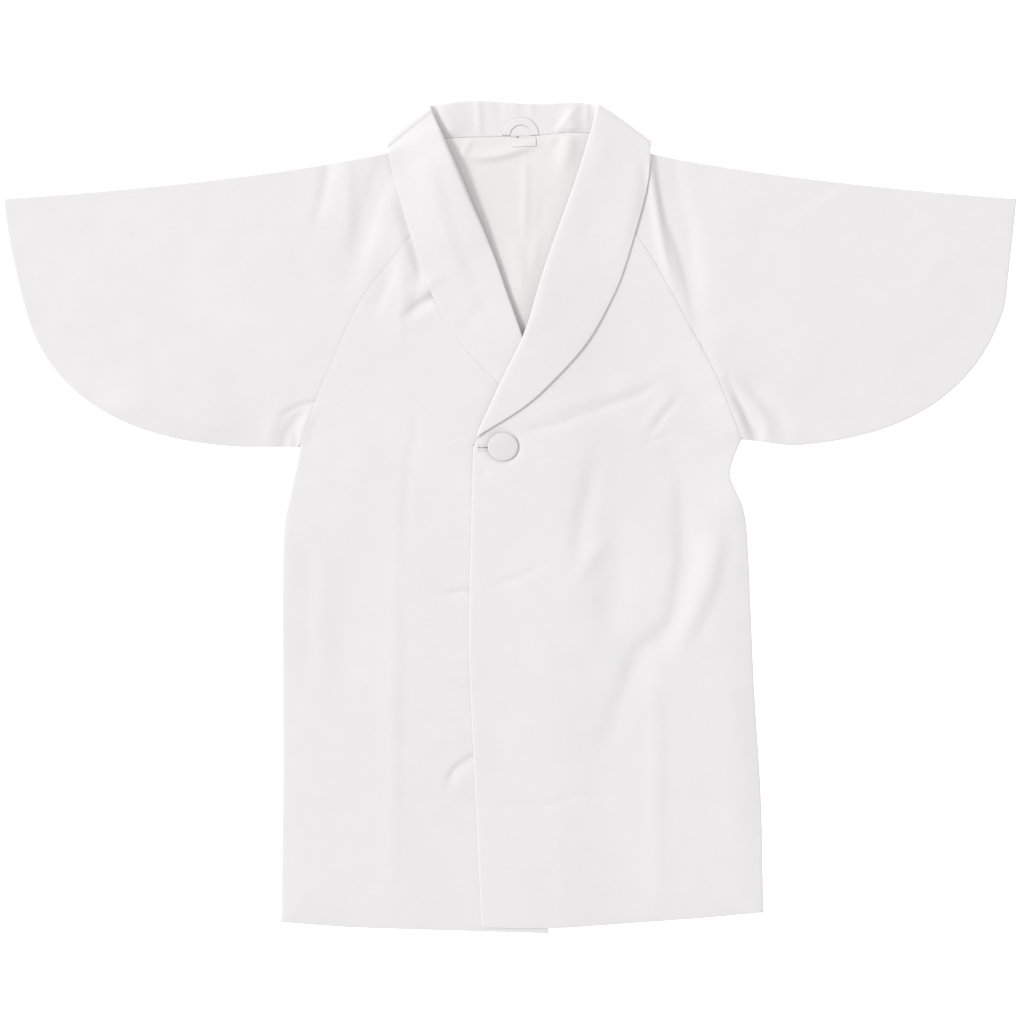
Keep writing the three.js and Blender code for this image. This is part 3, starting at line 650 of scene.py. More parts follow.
# %% The layers, from the surface up
def float_up(points):
    """How far the upper cloth stands off the back: less at the cuffs, which lie flat."""
    sleeve = distance_to(points, sleeve_edges, CUFF_REACH)
    body = distance_to(points, (hem_right, hem_left), 4 * LOFT_REACH)
    flat = CUFF_LOFT + (1 - CUFF_LOFT) * soft_step(sleeve, 0, CUFF_REACH)
    loft = (1 - np.exp(-body / LOFT_REACH)) * flat
    return rolled(np.minimum(sleeve, body), ROLL_HEIGHT, ROLL_REACH) + LOFT * loft


def seam_dip(points):
    away = distance_to(points, RAGLAN_SEAMS, 4 * SEAM_REACH)
    return SEAM_DIP * np.exp(-((away / SEAM_REACH) ** 2))


def under_left_front(points):
    """1 where the right front lies under the left one, 0 where it shows."""
    away = near_line(points, OVER_EDGE, 8 * MM)[0]
    return soft_step(np.where(within(points, outlines["front_left"]), away, 0), 0, 8 * MM)


def back_level(points):
    return BACK_RISE * cover(points, fall_behind, BACK_RUN)


def back_middle(points):
    """Middle of the back and of both lower sleeves, with creases that the upper cloth clears."""
    return back_level(points) + SHELL / 2 + folded(points, BACK_FOLDS)


def lining_level(points):
    """Underside of the lining, which comes down to the stand at the neck seam."""
    away = near_line(points, NECK_SEAM, 6 * MM)[0]
    return back_level(points) + SHELL + AIR - 0.2 * MM * (1 - soft_step(away, 0, 5 * MM))


def button_dip(points):
    away = np.linalg.norm(points - BUTTON_CENTRE, axis=1)
    return BUTTON_DIP * (1 - soft_step(away, DIP_INNER, DIP_OUTER))


def upper_lowest(points):
    """As low as the middle of the upper cloth may go over the back and its lining."""
    lining = (LINING + AIR) * cover(points, outlines["back_lining"], LINING_RUN)
    return back_level(points) + SHELL + lining + LEAST_AIR + SHELL / 2


def upper_base(points):
    """How far the upper cloth stands above its lowest, before its folds."""
    rises = AIR + float_up(points) - seam_dip(points) - button_dip(points)
    for size, height, layer in UNEVENNESS:
        rises += height * MM * np.array([noise.noise((x / size, y / size, layer)) for x, y in points])
    return rises


def right_level(points, folds=True):
    """Middle of the right front and of both upper sleeves."""
    lowest = upper_lowest(points)
    middle = lowest + upper_base(points)
    if folds:
        right_folds = folded(points, RIGHT_FOLDS) * (1 - under_left_front(points))
        middle += folded(points, SHARED_FOLDS) + right_folds + folded(points, LEFT_FOLDS)
    return kept_above(middle, lowest)


def left_level(points, folds=True):
    """Middle of the left front, which lies over the right one and over the collar's tip."""
    over_front = (SHELL + AIR) * cover(points, outlines["front_right"], UNDER_RUN)
    over_fall = FALL_STEP * cover(points, fall_of_right, FALL_RUN)
    edge = rolled(near_line(points, OVER_EDGE, EDGE_REACH)[0], EDGE_HEIGHT, EDGE_REACH)
    lowest = upper_lowest(points) + over_front + over_fall
    middle = lowest + upper_base(points)
    if folds:
        middle += folded(points, SHARED_FOLDS) + folded(points, LEFT_FOLDS)
    return kept_above(middle, lowest) + edge


def lining_middle(points):
    held = soft_step(near_line(points, NECK_SEAM, 6 * MM)[0], 0, 4 * MM)
    lowest = back_level(points) + SHELL + LEAST_AIR + LINING / 2
    return kept_above(lining_level(points) + LINING / 2 + held * folded(points, NECK_FOLDS), lowest)


LEVELS = {
    "back": back_middle,
    "back_lining": lining_middle,
    "front_right": right_level,
    "front_left": left_level,
    "sleeve_right_back": back_middle,
    "sleeve_left_back": back_middle,
    "sleeve_right_front": right_level,
    "sleeve_left_front": right_level,
}
places = np.array([(0.1, 0.0), (-0.1, -0.1), (0.3, 0.2)])
for name, level in (("left front", left_level), ("right front and sleeves", right_level)):
    print(name, "at", places.tolist(), "in mm:", np.round(level(places) / MM, 2))

# %% [markdown]
# ## Cloth shells
#
# A panel is a sheet of triangles on its outline: rows of points follow the edge, closer
# together near it, and a staggered grid fills the rest. The sheet is copied to an upper and
# a lower face, half a thickness to either side of the middle, which meet in a round rim.

# %% Make a shell from an outline and a height
RIM_DEPTHS = [0.12, 0.4, 1.0, 2.0]
GRID_MARGIN, ROW_STEP = 1.3, 0.87
# how far in from a rim the cloth has its full thickness, in thicknesses
ROLL_IN, NECK_ROLL_IN, SWEPT_ROLL_IN = 0.7, 2, 0.62


def plan_of(outline, spacing, holes=()):
    """Points and triangles that fill an outline. The outline's points come first."""
    rims = [outline, *holes]
    closed_rims = [closed(rim) for rim in rims]
    rings = []
    for rim in rims:
        for depth in RIM_DEPTHS:
            ring = inset(rim, depth * MM)
            away = distance_to(ring, closed_rims, 3 * MM)
            rings.append(ring[(away > 0.9 * depth * MM) & within(ring, outline)])
    low, high = outline.min(0), outline.max(0)
    rows = np.arange(low[1], high[1], spacing * ROW_STEP)
    grid = np.array([
        (x + (spacing / 2 if j % 2 else 0), y)
        for j, y in enumerate(rows)
        for x in np.arange(low[0], high[0], spacing)
    ])
    grid = grid[within(grid, outline)]
    away = distance_to(grid, closed_rims, 9 * MM)
    grid = grid[away > RIM_DEPTHS[-1] * MM + spacing * GRID_MARGIN / 2]
    points = np.vstack([*rims, *rings, grid])
    edges, start = [], 0
    for rim in rims:
        edges += [(start + i, start + (i + 1) % len(rim)) for i in range(len(rim))]
        start += len(rim)
    found = delaunay_2d_cdt([Vector(point) for point in points], edges, [], 1, 1e-7)
    points, faces = np.array([tuple(point) for point in found[0]]), np.array(found[2])
    for hole in holes:
        faces = faces[~within(points[faces].mean(axis=1), hole)]
    return points, faces


def add_piece(name, points, faces, uv):
    """A smooth mesh whose cloth map is in metres."""
    mesh = bpy.data.meshes.new(name)
    mesh.from_pydata(points.tolist(), [], [tuple(face) for face in faces])
    mesh.validate()
    mesh.shade_smooth()
    layer = mesh.uv_layers.new(name="cloth")
    corners = np.empty(len(mesh.loops), np.int32)
    mesh.loops.foreach_get("vertex_index", corners)
    layer.uv.foreach_set("vector", uv[corners].astype(np.float32).ravel())
    return placed(name, mesh)


def cloth_shell(name, outline, level, wall, spacing, shows, holes=()):
    """A thin closed shell of cloth whose middle is at the given height.

    Its rim is round, except at a seam, where the side that shows runs level to the rim."""
    plan, faces = plan_of(outline, spacing, holes)
    middle = level(plan)
    away = distance_to(plan, [closed(rim) for rim in (outline, *holes)], 3 * MM)
    at_neck = near_line(plan, NECK_RIM, 3 * MM)[0] < away + 0.05 * MM
    half = rolled(away, wall / 2, np.where(at_neck, wall * NECK_ROLL_IN, wall * ROLL_IN))
    is_rim = away < 1e-6
    half[is_rim] = 0
    at_seam = distance_to(plan, SEWN_LINES, 3 * MM) < away + SEAM_GAP
    middle = middle + np.where(at_seam, shows, np.where(at_neck, -1, 0)) * (wall / 2 - half)
    lower_of = np.arange(len(plan))
    lower_of[~is_rim] = len(plan) + np.arange((~is_rim).sum())
    upper = np.column_stack([plan, middle + half])
    lower = np.column_stack([plan, middle - half])[~is_rim]
    every_face = np.vstack([faces, lower_of[faces][:, ::-1]])
    uv = np.vstack([plan, plan[~is_rim]])
    return add_piece(name, np.vstack([upper, lower]), every_face, uv)


def slit(start, end, y, half_width):
    """A narrow pointed hole, which runs the other way round from an outline."""
    share = np.linspace(0, 1, 16)
    x = start + (end - start) * share
    wide = half_width * np.sqrt(np.sin(math.pi * share))
    return np.vstack([np.column_stack([x, y + wide]), np.column_stack([x, y - wide])[-2:0:-1]])


SEWN_LINES = [*RAGLAN_SEAMS, *BACK_SEAMS]
HOLE_START, HOLE_END, HOLE_Y = -0.0296, -0.0040, 0.0641
HOLES = {"front_left": [slit(HOLE_START, HOLE_END, HOLE_Y, 0.2 * MM)]}
FINE, COARSE = 2.9 * MM, 5.5 * MM
cloth = {}
for name in PANELS:
    wall = LINING if name == "back_lining" else SHELL
    spacing, shows = (COARSE, -1) if name.endswith("back") else (FINE, 1)
    cloth[name] = cloth_shell(
        name + "_cloth", outlines[name], LEVELS[name], wall, spacing, shows, HOLES.get(name, ())
    )
    print(name, len(cloth[name].data.polygons), "triangles")

# %% [markdown]
# ## Shawl collar
#
# The collar could be modelled flat and then bent, but a sweep follows its pattern directly.
# At each station along the band there is a section: the stand, a round turn at the roll
# line, and the fall. On the fronts the fall follows the cloth below it and comes down to
# it away from the roll. At the neck corners the whole section swings over the shoulder,
# and behind the neck it lies upside down, with the fall under the back.

# %% Stations along the collar
TURN_BEHIND = 1.3 * MM
# how high and how deep the turn is, in millimetres, at places up the coat: tight at the tips
# and softest at the right shoulder, where the collar stands off the lining
TURNS = {
    "right": [
        (0.060, 0.85, 1.0), (0.220, 0.85, 1.2), (0.250, 1.0, 1.5), (0.265, 2.0, 2.0),
        (0.290, 3.2, 2.4), (0.310, 4.1, 2.8), (0.328, 4.8, 3.0), (0.345, 3.8, 2.6),
        (0.357, 3.0, 2.3), (0.368, 1.6, 1.8), (0.376, 0.95, 1.5),
    ],
    "left": [
        (0.06, 0.85, 2.4), (0.11, 0.9, 4.2), (0.20, 0.95, 5.2),
        (0.33, 0.95, 5.2), (0.36, 1.0, 3.4), (0.375, 1.3, 1.6),
    ],
}
TURN_DEPTH_BEHIND = 1.6 * MM
# how far the shoulder fold bows out between the roll and the edge, and how far the roll and
# the edge run along that fold as they go over it
CORNER_BOW = {"right": 2.8 * MM, "left": 1.0 * MM}
ROLL_SLANT, EDGE_SLANT = 4.0 * MM, 5.0 * MM
ROLL_TO_CENTRE = 2.05 * MM
STAND_LIFT = 0.5 * MM
FRONT_COUNT, CORNER_COUNT, BACK_COUNT, FINE_STEPS = 120, 22, 34, 400
# shares of the front's length: the close stations at its tip, the first of the even ones,
# and the place from which the fall lets go of the cloth below it
TIP_STARTS, EVEN_START, LETS_GO = [0, 0.0015, 0.004, 0.008, 0.015, 0.025], 0.035, 0.80


def unit(vectors):
    return vectors / np.linalg.norm(vectors, axis=-1, keepdims=True)


def alike(count, **values):
    """The same values at every station."""
    return {key: np.full(count, value) for key, value in values.items()}


def turn_size(side, y):
    marks, heights, depths = np.array(TURNS[side]).T
    return np.interp(y, marks, heights * MM), np.interp(y, marks, depths * MM)


def corner_of(side, level):
    """The axis and the place of the section where the collar swings over the shoulder."""
    roll, edge, seam = (np.array(place) for place in COLLAR_CORNER[side])
    way = -1 if side == "right" else 1
    along = unit(edge - roll)
    outward = way * np.array([-along[1], along[0]])
    low = COLLAR / 2 + TURN_BEHIND
    high = level(seam[None])[0] - SHELL / 2 + STAND_LIFT + low
    radius = (high - low) / 2
    inward = outward * (radius + COLLAR / 2 + TURN_BEHIND)
    centre = roll - inward + along * (COLLAR / 2 + TURN_DEPTH_BEHIND)
    top = high + TURN_BEHIND
    lying = level(edge[None] - inward)[0] + SHELL / 2 + AIR + COLLAR / 2
    return dict(centre=centre, edge=edge - inward, seam=seam, high=high, low=low,
                radius=radius, way=way, along=along, drop=top - lying)


def stations_of(side, level):
    """Centre (x, y, z), edge, seam, size of the turn, angle of the swing, and follow."""
    corner = corner_of(side, level)
    rows = np.array(COLLAR_FRONT[side])
    roll, edge = rows[:, 0:2], rows[:, 2:4]
    along = unit(edge - roll)
    depths = turn_size(side, roll[:, 1])[1]
    centre = roll + along * (depths + COLLAR / 2)[:, None]
    seam = roll + along * (ROLL_TO_CENTRE + rows[:, 4])[:, None]
    at = np.concatenate([TIP_STARTS, np.linspace(EVEN_START, 1, FRONT_COUNT)])[:-1]

    def line(marks, end):
        fine = smooth_line(np.vstack([marks, end]), FINE_STEPS)
        shares = np.linspace(0, 1, FINE_STEPS + 1)
        return np.column_stack([np.interp(at, shares, axis) for axis in fine.T])

    first_centre = corner["centre"] + corner["along"] * ROLL_SLANT
    first_edge = corner["edge"] + corner["along"] * EDGE_SLANT
    centre, edge, seam = line(centre, first_centre), line(edge, first_edge), line(seam, corner["seam"])
    radius, depth = turn_size(side, centre[:, 1])
    height = level(seam) - SHELL / 2 + STAND_LIFT + COLLAR / 2 + radius
    front = dict(centre=np.column_stack([centre, height]), edge=edge, seam=seam,
                 radius=radius, depth=depth, angle=np.zeros(len(at)),
                 follow=1 - soft_step(at, LETS_GO, 1.0))

    def outward(to):
        direction = unit(corner[to] - corner["centre"])
        return corner["way"] * np.array([-direction[1], direction[0]])

    angle = np.linspace(0, math.pi, CORNER_COUNT)
    middle = unit(outward("edge") + outward("seam"))
    moved = corner["radius"] * np.sin(angle)[:, None] * middle
    slant = (1 - 2 * angle / math.pi)[:, None] * corner["along"]
    height = (corner["high"] + corner["low"]) / 2 + corner["radius"] * np.cos(angle)
    over = dict(centre=np.column_stack([corner["centre"] + moved + slant * ROLL_SLANT, height]),
                edge=corner["edge"] + moved + slant * EDGE_SLANT, seam=corner["seam"] + moved,
                angle=angle, **alike(CORNER_COUNT, radius=TURN_BEHIND, depth=TURN_DEPTH_BEHIND, follow=0.0))

    marks = np.array(COLLAR_BACK[side])
    drop = np.array([0, COLLAR / 2 + TURN_DEPTH_BEHIND])
    last_centre = corner["centre"] - corner["along"] * ROLL_SLANT
    last_edge = corner["edge"] - corner["along"] * EDGE_SLANT
    behind_centre = smooth_line(np.vstack([last_centre, marks[:, 0] - drop]), BACK_COUNT)[1:]
    behind = dict(centre=np.column_stack([behind_centre, np.full(BACK_COUNT, corner["low"])]),
                  edge=smooth_line(np.vstack([last_edge, marks[:, 1]]), BACK_COUNT)[1:],
                  seam=smooth_line(np.vstack([corner["seam"], marks[:, 2]]), BACK_COUNT)[1:],
                  **alike(BACK_COUNT, radius=TURN_BEHIND, depth=TURN_DEPTH_BEHIND,
                          angle=math.pi, follow=0.0))
    parts = {key: np.concatenate([front[key], over[key], behind[key]]) for key in front}
    parts["outward"] = {to: outward(to) for to in ("edge", "seam")}
    parts["drop"], parts["bow"] = corner["drop"], middle * CORNER_BOW[side]
    return parts


# %% [markdown]
# The section is worked out for all stations of one half at once, as a grid of points in
# the middle of the cloth.

# %% Sections of the collar
STAND_POINTS, TURN_POINTS, FALL_POINTS = 14, 12, 30
STAND_AIR = 0.8 * MM
FALL_SETTLE = {"right": 34 * MM, "left": 24 * MM}
EDGE_SETTLE, EDGE_SETTLE_REACH = 0.2 * MM, 8 * MM
HEM_UNDER = 1.3 * MM
EDGE_DEPTHS = np.array([2.6, 1.7, 1.0, 0.5, 0.18, 0.0]) * MM


def stand_folds(points):
    """Folds of the stand, which lies flat at the neck seam."""
    held = soft_step(near_line(points, NECK_SEAM, 6 * MM)[0], 0.5 * MM, 5 * MM)
    return kept_above(held * folded(points, NECK_FOLDS), -STAND_AIR)


def section_grid(side, level):
    """Points in the middle of the cloth, one row for each station."""
    at = stations_of(side, level)
    flat = at["centre"][:, :2]
    to_edge, to_seam = at["edge"] - flat, at["seam"] - flat
    fall_length, stand_length = np.linalg.norm(to_edge, axis=1), np.linalg.norm(to_seam, axis=1)
    along_fall, along_stand = unit(to_edge), unit(to_seam)
    cos, sin = np.cos(at["angle"])[:, None], np.sin(at["angle"])[:, None]
    normal = {to: np.hstack([sin * at["outward"][to], cos]) for to in ("edge", "seam")}
    radius, depth = at["radius"][:, None], at["depth"][:, None]
    columns = []
    for part in np.linspace(1, 0, STAND_POINTS + 1)[:-1]:
        point = at["centre"] - normal["seam"] * radius
        point[:, :2] += along_stand * (stand_length * part)[:, None]
        columns.append(point)
    for part in np.linspace(0, 1, TURN_POINTS + 1):
        along = unit(along_stand + (along_fall - along_stand) * part)
        along = np.hstack([along, np.zeros((len(along), 1))])
        up = unit(normal["seam"] + (normal["edge"] - normal["seam"]) * part)
        across, over = math.cos(math.pi * part), math.sin(math.pi * part)
        columns.append(at["centre"] - radius * across * up - depth * over * along)
    shares = np.linspace(0, 1, FALL_POINTS + 1)[1:]
    last = fall_length[:, None] - EDGE_DEPTHS
    reach = np.hstack([shares[:-1] * last[:, :1], last])
    for distance in reach.T:
        point = at["centre"] + normal["edge"] * radius
        point[:, :2] += along_fall * distance[:, None]
        columns.append(point)
    grid = np.stack(columns, axis=1)

    fall = slice(STAND_POINTS + TURN_POINTS, None)
    share = np.hstack([np.zeros((len(reach), 1)), reach]) / fall_length[:, None]
    grid[:, fall, 2] -= at["drop"] * share * (1 + cos) / 2
    grid[:, fall, :2] += (4 * share * (1 - share) * sin)[..., None] * at["bow"]
    places = grid[:, fall, :2].reshape(-1, 2)
    shape = grid[:, fall, 2].shape
    bridged = np.maximum(level(places), level(places, folds=False))
    sheet = (bridged + SHELL / 2 + AIR + COLLAR / 2).reshape(shape)
    u = np.hstack([np.zeros((len(reach), 1)), reach])
    above = (grid[:, fall, 2][:, :1] - sheet[:, :1]) * np.exp(-((u / FALL_SETTLE[side]) ** 2))
    settled = EDGE_SETTLE * np.exp(-(((u[:, -1:] - u) / EDGE_SETTLE_REACH) ** 2))
    folds = folded(places, COLLAR_FOLDS).reshape(shape)
    laid = kept_above(sheet + above + folds - settled, sheet - AIR + LEAST_AIR)
    follow = at["follow"][:, None]
    grid[:, fall, 2] += follow * (laid - grid[:, fall, 2])

    stand = slice(0, STAND_POINTS + TURN_POINTS // 2)
    places = grid[:, stand, :2].reshape(-1, 2)
    behind = soft_step(-np.cos(at["angle"]), 0.2, 1)[:, None]
    grid[:, stand, 2] += behind * stand_folds(places).reshape(grid[:, stand, 2].shape)
    grid[:, 0, :2] += behind * HEM_UNDER * along_stand
    grid[:, 0, 2] += behind[:, 0] * HEM_UNDER / 4
    return grid


halves = {"right": section_grid("right", right_level), "left": section_grid("left", left_level)}
band = np.vstack([halves["right"], halves["left"][:-1][::-1]])
top = round(band[..., 2].max() / MM, 2)
print("collar grid:", band.shape[0], "stations of", band.shape[1], "points; top at", top, "mm")

# %% Give the collar its thickness
EDGE_FULLNESS, FULL_AT, FULL_REACH = 0.12 * MM, 4.5 * MM, 3.5 * MM


def along_grid(grid, axis):
    """Distance from the start of each grid line."""
    steps = np.linalg.norm(np.diff(grid, axis=axis), axis=-1)
    return np.insert(np.cumsum(steps, axis=axis), 0, 0, axis=axis)


def quads(ids):
    return np.stack([ids[:-1, :-1], ids[:-1, 1:], ids[1:, 1:], ids[1:, :-1]], -1).reshape(-1, 4)


def swept_shell(name, grid, wall, fullness=0.0):
    """A closed shell of cloth on a grid of points, thin at its four edges."""
    normal = unit(np.cross(np.gradient(grid, axis=0), np.gradient(grid, axis=1)))
    across, lengthwise = along_grid(grid, 1), along_grid(grid, 0)
    to_edge = across[:, -1:] - across
    half = np.full(grid.shape[:2], wall / 2)
    half += fullness * np.exp(-(((to_edge - FULL_AT) / FULL_REACH) ** 2))
    for away in (across, to_edge, lengthwise, lengthwise[-1:] - lengthwise):
        half *= rolled(away, 1, wall * SWEPT_ROLL_IN)
    front = np.arange(half.size).reshape(half.shape)
    inner = np.zeros(half.shape, bool)
    inner[1:-1, 1:-1] = True
    rear = front.copy()
    rear[inner] = half.size + np.arange(inner.sum())
    outward = normal * half[..., None]
    points = np.vstack([(grid + outward).reshape(-1, 3), (grid - outward)[inner]])
    faces = np.vstack([quads(front), quads(rear)[:, ::-1]])
    middle = lengthwise[:, grid.shape[1] // 2]
    plan = np.stack([np.broadcast_to(middle[:, None], half.shape), across], -1)
    piece = add_piece(name, points, faces, np.vstack([plan.reshape(-1, 2), plan[inner]]))
    shell = bmesh.new()
    shell.from_mesh(piece.data)
    bmesh.ops.recalc_face_normals(shell, faces=shell.faces)
    shell.to_mesh(piece.data)
    shell.free()
    return piece


cloth["collar"] = swept_shell("collar_cloth", band, COLLAR, EDGE_FULLNESS)
print("collar", len(cloth["collar"].data.polygons), "quads")

# %% [markdown]
# ## Hanger loop and size label
#
# The loop is a narrow tape, folded lengthwise and sewn down at both ends. It lies in a half
# round over the collar's stand. The label is a short woven tape on the lining, just below
# the neck seam. It is left bare.

# %% Hanger loop and label
LOOP_CENTRE = (0.0100, 0.3538)
LOOP_OUTER, LOOP_INNER = 17.0 * MM, 9.6 * MM
LOOP_WALL = 0.5 * MM
LOOP_ARCH, LOOP_CREASE = 0.1 * MM, 0.3 * MM
LABEL_CENTRE, LABEL_SIZE, LABEL_TURN = (0.0130, 0.3476), (0.0230, 0.0086), 0.03
LABEL_WALL = 0.25 * MM
TAPE_AIR = 0.05 * MM


def stand_top(points):
    return COLLAR + 2 * TURN_BEHIND + stand_folds(points)


def loop_grid():
    angle = np.linspace(0, math.pi, 41)[:, None]
    share = np.linspace(0, 1, 11)[None, :]
    radius = LOOP_OUTER + (LOOP_INNER - LOOP_OUTER) * share
    x = LOOP_CENTRE[0] + radius * np.cos(angle)
    y = LOOP_CENTRE[1] + radius * np.sin(angle) * (1 + 0.03 * np.cos(angle))
    plan = np.stack([x, y], -1)
    under = stand_top(plan.reshape(-1, 2)).reshape(x.shape)
    crease = np.exp(-(((share - 0.5) / 0.09) ** 2))
    crown = LOOP_CREASE * np.sin(math.pi * share) - LOOP_CREASE * crease
    z = under + TAPE_AIR + LOOP_WALL / 2 + LOOP_ARCH * np.sin(angle) ** 2 + crown
    return np.dstack([x, y, z])


def label_grid():
    across = np.linspace(-0.5, 0.5, 34)[:, None] * LABEL_SIZE[0]
    down = np.linspace(0.5, -0.5, 16)[None, :] * LABEL_SIZE[1]
    x = LABEL_CENTRE[0] + across * math.cos(LABEL_TURN) - down * math.sin(LABEL_TURN)
    y = LABEL_CENTRE[1] + across * math.sin(LABEL_TURN) + down * math.cos(LABEL_TURN)
    plan = np.stack([x, y], -1).reshape(-1, 2)
    under = LEVELS["back_lining"](plan).reshape(x.shape) + LINING / 2
    lower_edge = TAPE_AIR * soft_step(-down / LABEL_SIZE[1], 0.0, 0.5)
    return np.dstack([x, y, under + TAPE_AIR + LABEL_WALL / 2 + lower_edge])


cloth["hanger_loop"] = swept_shell("hanger_loop_tape", loop_grid(), LOOP_WALL)
cloth["size_label"] = swept_shell("size_label_tape", label_grid(), LABEL_WALL)
loop_top = max(vert.co.z for vert in cloth["hanger_loop"].data.vertices)
print("loop and label made; top of the loop at", round(loop_top / MM, 2), "mm")

# %% [markdown]
# ## Button
#
# A covered button is a metal shell with the coat's cloth stretched over it and tucked in
# behind. Its face is a low dome with a round rim. It sits on a thread shank that goes
# through the buttonhole. Turned shapes like this are spun: one profile, repeated round an
# axis.

# %% Button
BUTTON_RADIUS = 14.0 * MM
BUTTON_RIM = 1.0 * MM
BUTTON_HEIGHT = 2.5 * MM
# the button is a little wider than high, and its top side stands off the cloth
BUTTON_SQUASH = 0.93
BUTTON_TILT = 0.07
BUTTON_SINK = 0.5 * MM
SHANK_RADIUS = 1.6 * MM
SHANK_SINK, HOLLOW_RISE = 0.1 * MM, 0.35 * MM
BUTTON_SIDES, RIM_STEPS, FACE_STEPS = 96, 14, 22


def button_profile(shank_length):
    """Radius and height, from the foot of the shank to the middle of the face."""
    shank = [(0, -shank_length), (SHANK_RADIUS, -shank_length), (SHANK_RADIUS, SHANK_SINK)]
    hollow = [(share * BUTTON_RADIUS, HOLLOW_RISE) for share in (0.3, 0.5, 0.7, 0.82)]
    rim = [
        (BUTTON_RADIUS - BUTTON_RIM + BUTTON_RIM * math.cos(a), BUTTON_RIM * (1 + 0.95 * math.sin(a)))
        for a in np.linspace(-math.pi / 2, math.pi / 5, RIM_STEPS)
    ]
    start, height = rim[-1]
    face = [
        (start * math.cos(a) ** 0.9, height + (BUTTON_HEIGHT - height) * math.sin(a) ** 0.85)
        for a in np.linspace(0, math.pi / 2, FACE_STEPS)[1:]
    ]
    return [*shank, *hollow, *rim, *face]


def turned(name, profile, centre, foot):
    """A profile spun round an upright axis, then tilted a little and set in its place."""
    spun = bmesh.new()
    ring = [spun.verts.new((radius, 0, height)) for radius, height in profile]
    edges = [spun.edges.new(pair) for pair in zip(ring, ring[1:])]
    bmesh.ops.spin(spun, geom=ring + edges, axis=(0, 0, 1), angle=math.tau, steps=BUTTON_SIDES)
    bmesh.ops.remove_doubles(spun, verts=spun.verts, dist=1e-6)
    bmesh.ops.recalc_face_normals(spun, faces=spun.faces)
    spun.verts.index_update()
    x, y, z = np.array([tuple(vert.co) for vert in spun.verts]).T
    z += (y + BUTTON_RADIUS) * BUTTON_TILT - BUTTON_SINK
    points = np.column_stack([centre[0] + x, centre[1] + y * BUTTON_SQUASH, foot + z])
    faces = [[vert.index for vert in face.verts] for face in spun.faces]
    spun.free()
    return add_piece(name, points, faces, points[:, :2])


around = np.linspace(0, math.tau, 24, endpoint=False)
rim_places = BUTTON_CENTRE + 0.8 * BUTTON_RADIUS * np.column_stack([np.cos(around), np.sin(around)])
button_foot = left_level(rim_places).max() + SHELL / 2 + 0.1 * MM
shank = button_foot - (right_level(BUTTON_CENTRE[None])[0] + SHELL / 2 + 0.3 * MM)
cloth["button"] = turned("covered_button", button_profile(shank), BUTTON_CENTRE, button_foot)
print("button foot at", round(button_foot / MM, 2), "mm; shank", round(shank / MM, 2), "mm long")

# %% [markdown]
# ## Stitches
#
# Stitches repeat along a line, so Geometry Nodes place them: the line is resampled to one
# point for each stitch, a small bar of thread is put on each point and turned across or
# along the line, and the bars are made real. The same tree sews the buttonhole, the ends
# of the hanger loop and the edges of the label, with other sizes.

# %% A tree that sews along a line
SETTINGS = ("Spacing", "Length", "Thickness", "Across")
STITCH_LINKS = [
    ("in", "Line", "curve", "Mesh"), ("curve", "Curve", "places", "Curve"),
    ("in", "Spacing", "places", "Length"), ("places", "Curve", "sew", "Points"),
    ("tangent", "Tangent", "turn", "Vector"), ("in", "Across", "angle", 0),
    ("angle", "Value", "around_up", "Z"), ("turn", "Rotation", "quarter", "Rotation"),
    ("around_up", "Vector", "quarter", "Rotate By"), ("quarter", "Rotation", "sew", "Rotation"),
    ("bar", "Mesh", "sew", "Instance"), ("in", "Length", "size", "X"),
    ("in", "Thickness", "size", "Y"), ("in", "Thickness", "size", "Z"),
    ("size", "Vector", "sew", "Scale"), ("sew", "Instances", "real", "Geometry"),
    ("real", "Geometry", "smooth", "Geometry"), ("smooth", "Geometry", "finish", "Geometry"),
    ("finish", "Geometry", "out", "Stitches"),
]


def stitch_tree(thread):
    tree = bpy.data.node_groups.new("sew_along_line", "GeometryNodeTree")
    tree.interface.new_socket("Line", in_out="INPUT", socket_type="NodeSocketGeometry")
    for name in SETTINGS[:3]:
        tree.interface.new_socket(name, in_out="INPUT", socket_type="NodeSocketFloat")
    tree.interface.new_socket("Across", in_out="INPUT", socket_type="NodeSocketBool")
    tree.interface.new_socket("Stitches", in_out="OUTPUT", socket_type="NodeSocketGeometry")
    made = {}

    def node(kind, name, **settings):
        made[name] = tree.nodes.new(kind)
        for key, value in settings.items():
            setattr(made[name], key, value)
        return made[name]

    node("NodeGroupInput", "in")
    node("GeometryNodeMeshToCurve", "curve")
    node("GeometryNodeResampleCurve", "places", mode="LENGTH")
    node("GeometryNodeInputTangent", "tangent")
    node("FunctionNodeAlignRotationToVector", "turn", axis="X")
    node("FunctionNodeRotateRotation", "quarter", rotation_space="LOCAL")
    node("ShaderNodeMath", "angle", operation="MULTIPLY").inputs[1].default_value = math.pi / 2
    node("ShaderNodeCombineXYZ", "around_up")
    node("GeometryNodeMeshUVSphere", "bar").inputs["Segments"].default_value = 8
    made["bar"].inputs["Rings"].default_value = 6
    made["bar"].inputs["Radius"].default_value = 0.5
    node("ShaderNodeCombineXYZ", "size")
    node("GeometryNodeInstanceOnPoints", "sew")
    node("GeometryNodeRealizeInstances", "real")
    node("GeometryNodeSetShadeSmooth", "smooth")
    node("GeometryNodeSetMaterial", "finish").inputs["Material"].default_value = thread
    node("NodeGroupOutput", "out")
    for source, output, target, entry in STITCH_LINKS:
        tree.links.new(made[source].outputs[output], made[target].inputs[entry])
    return tree


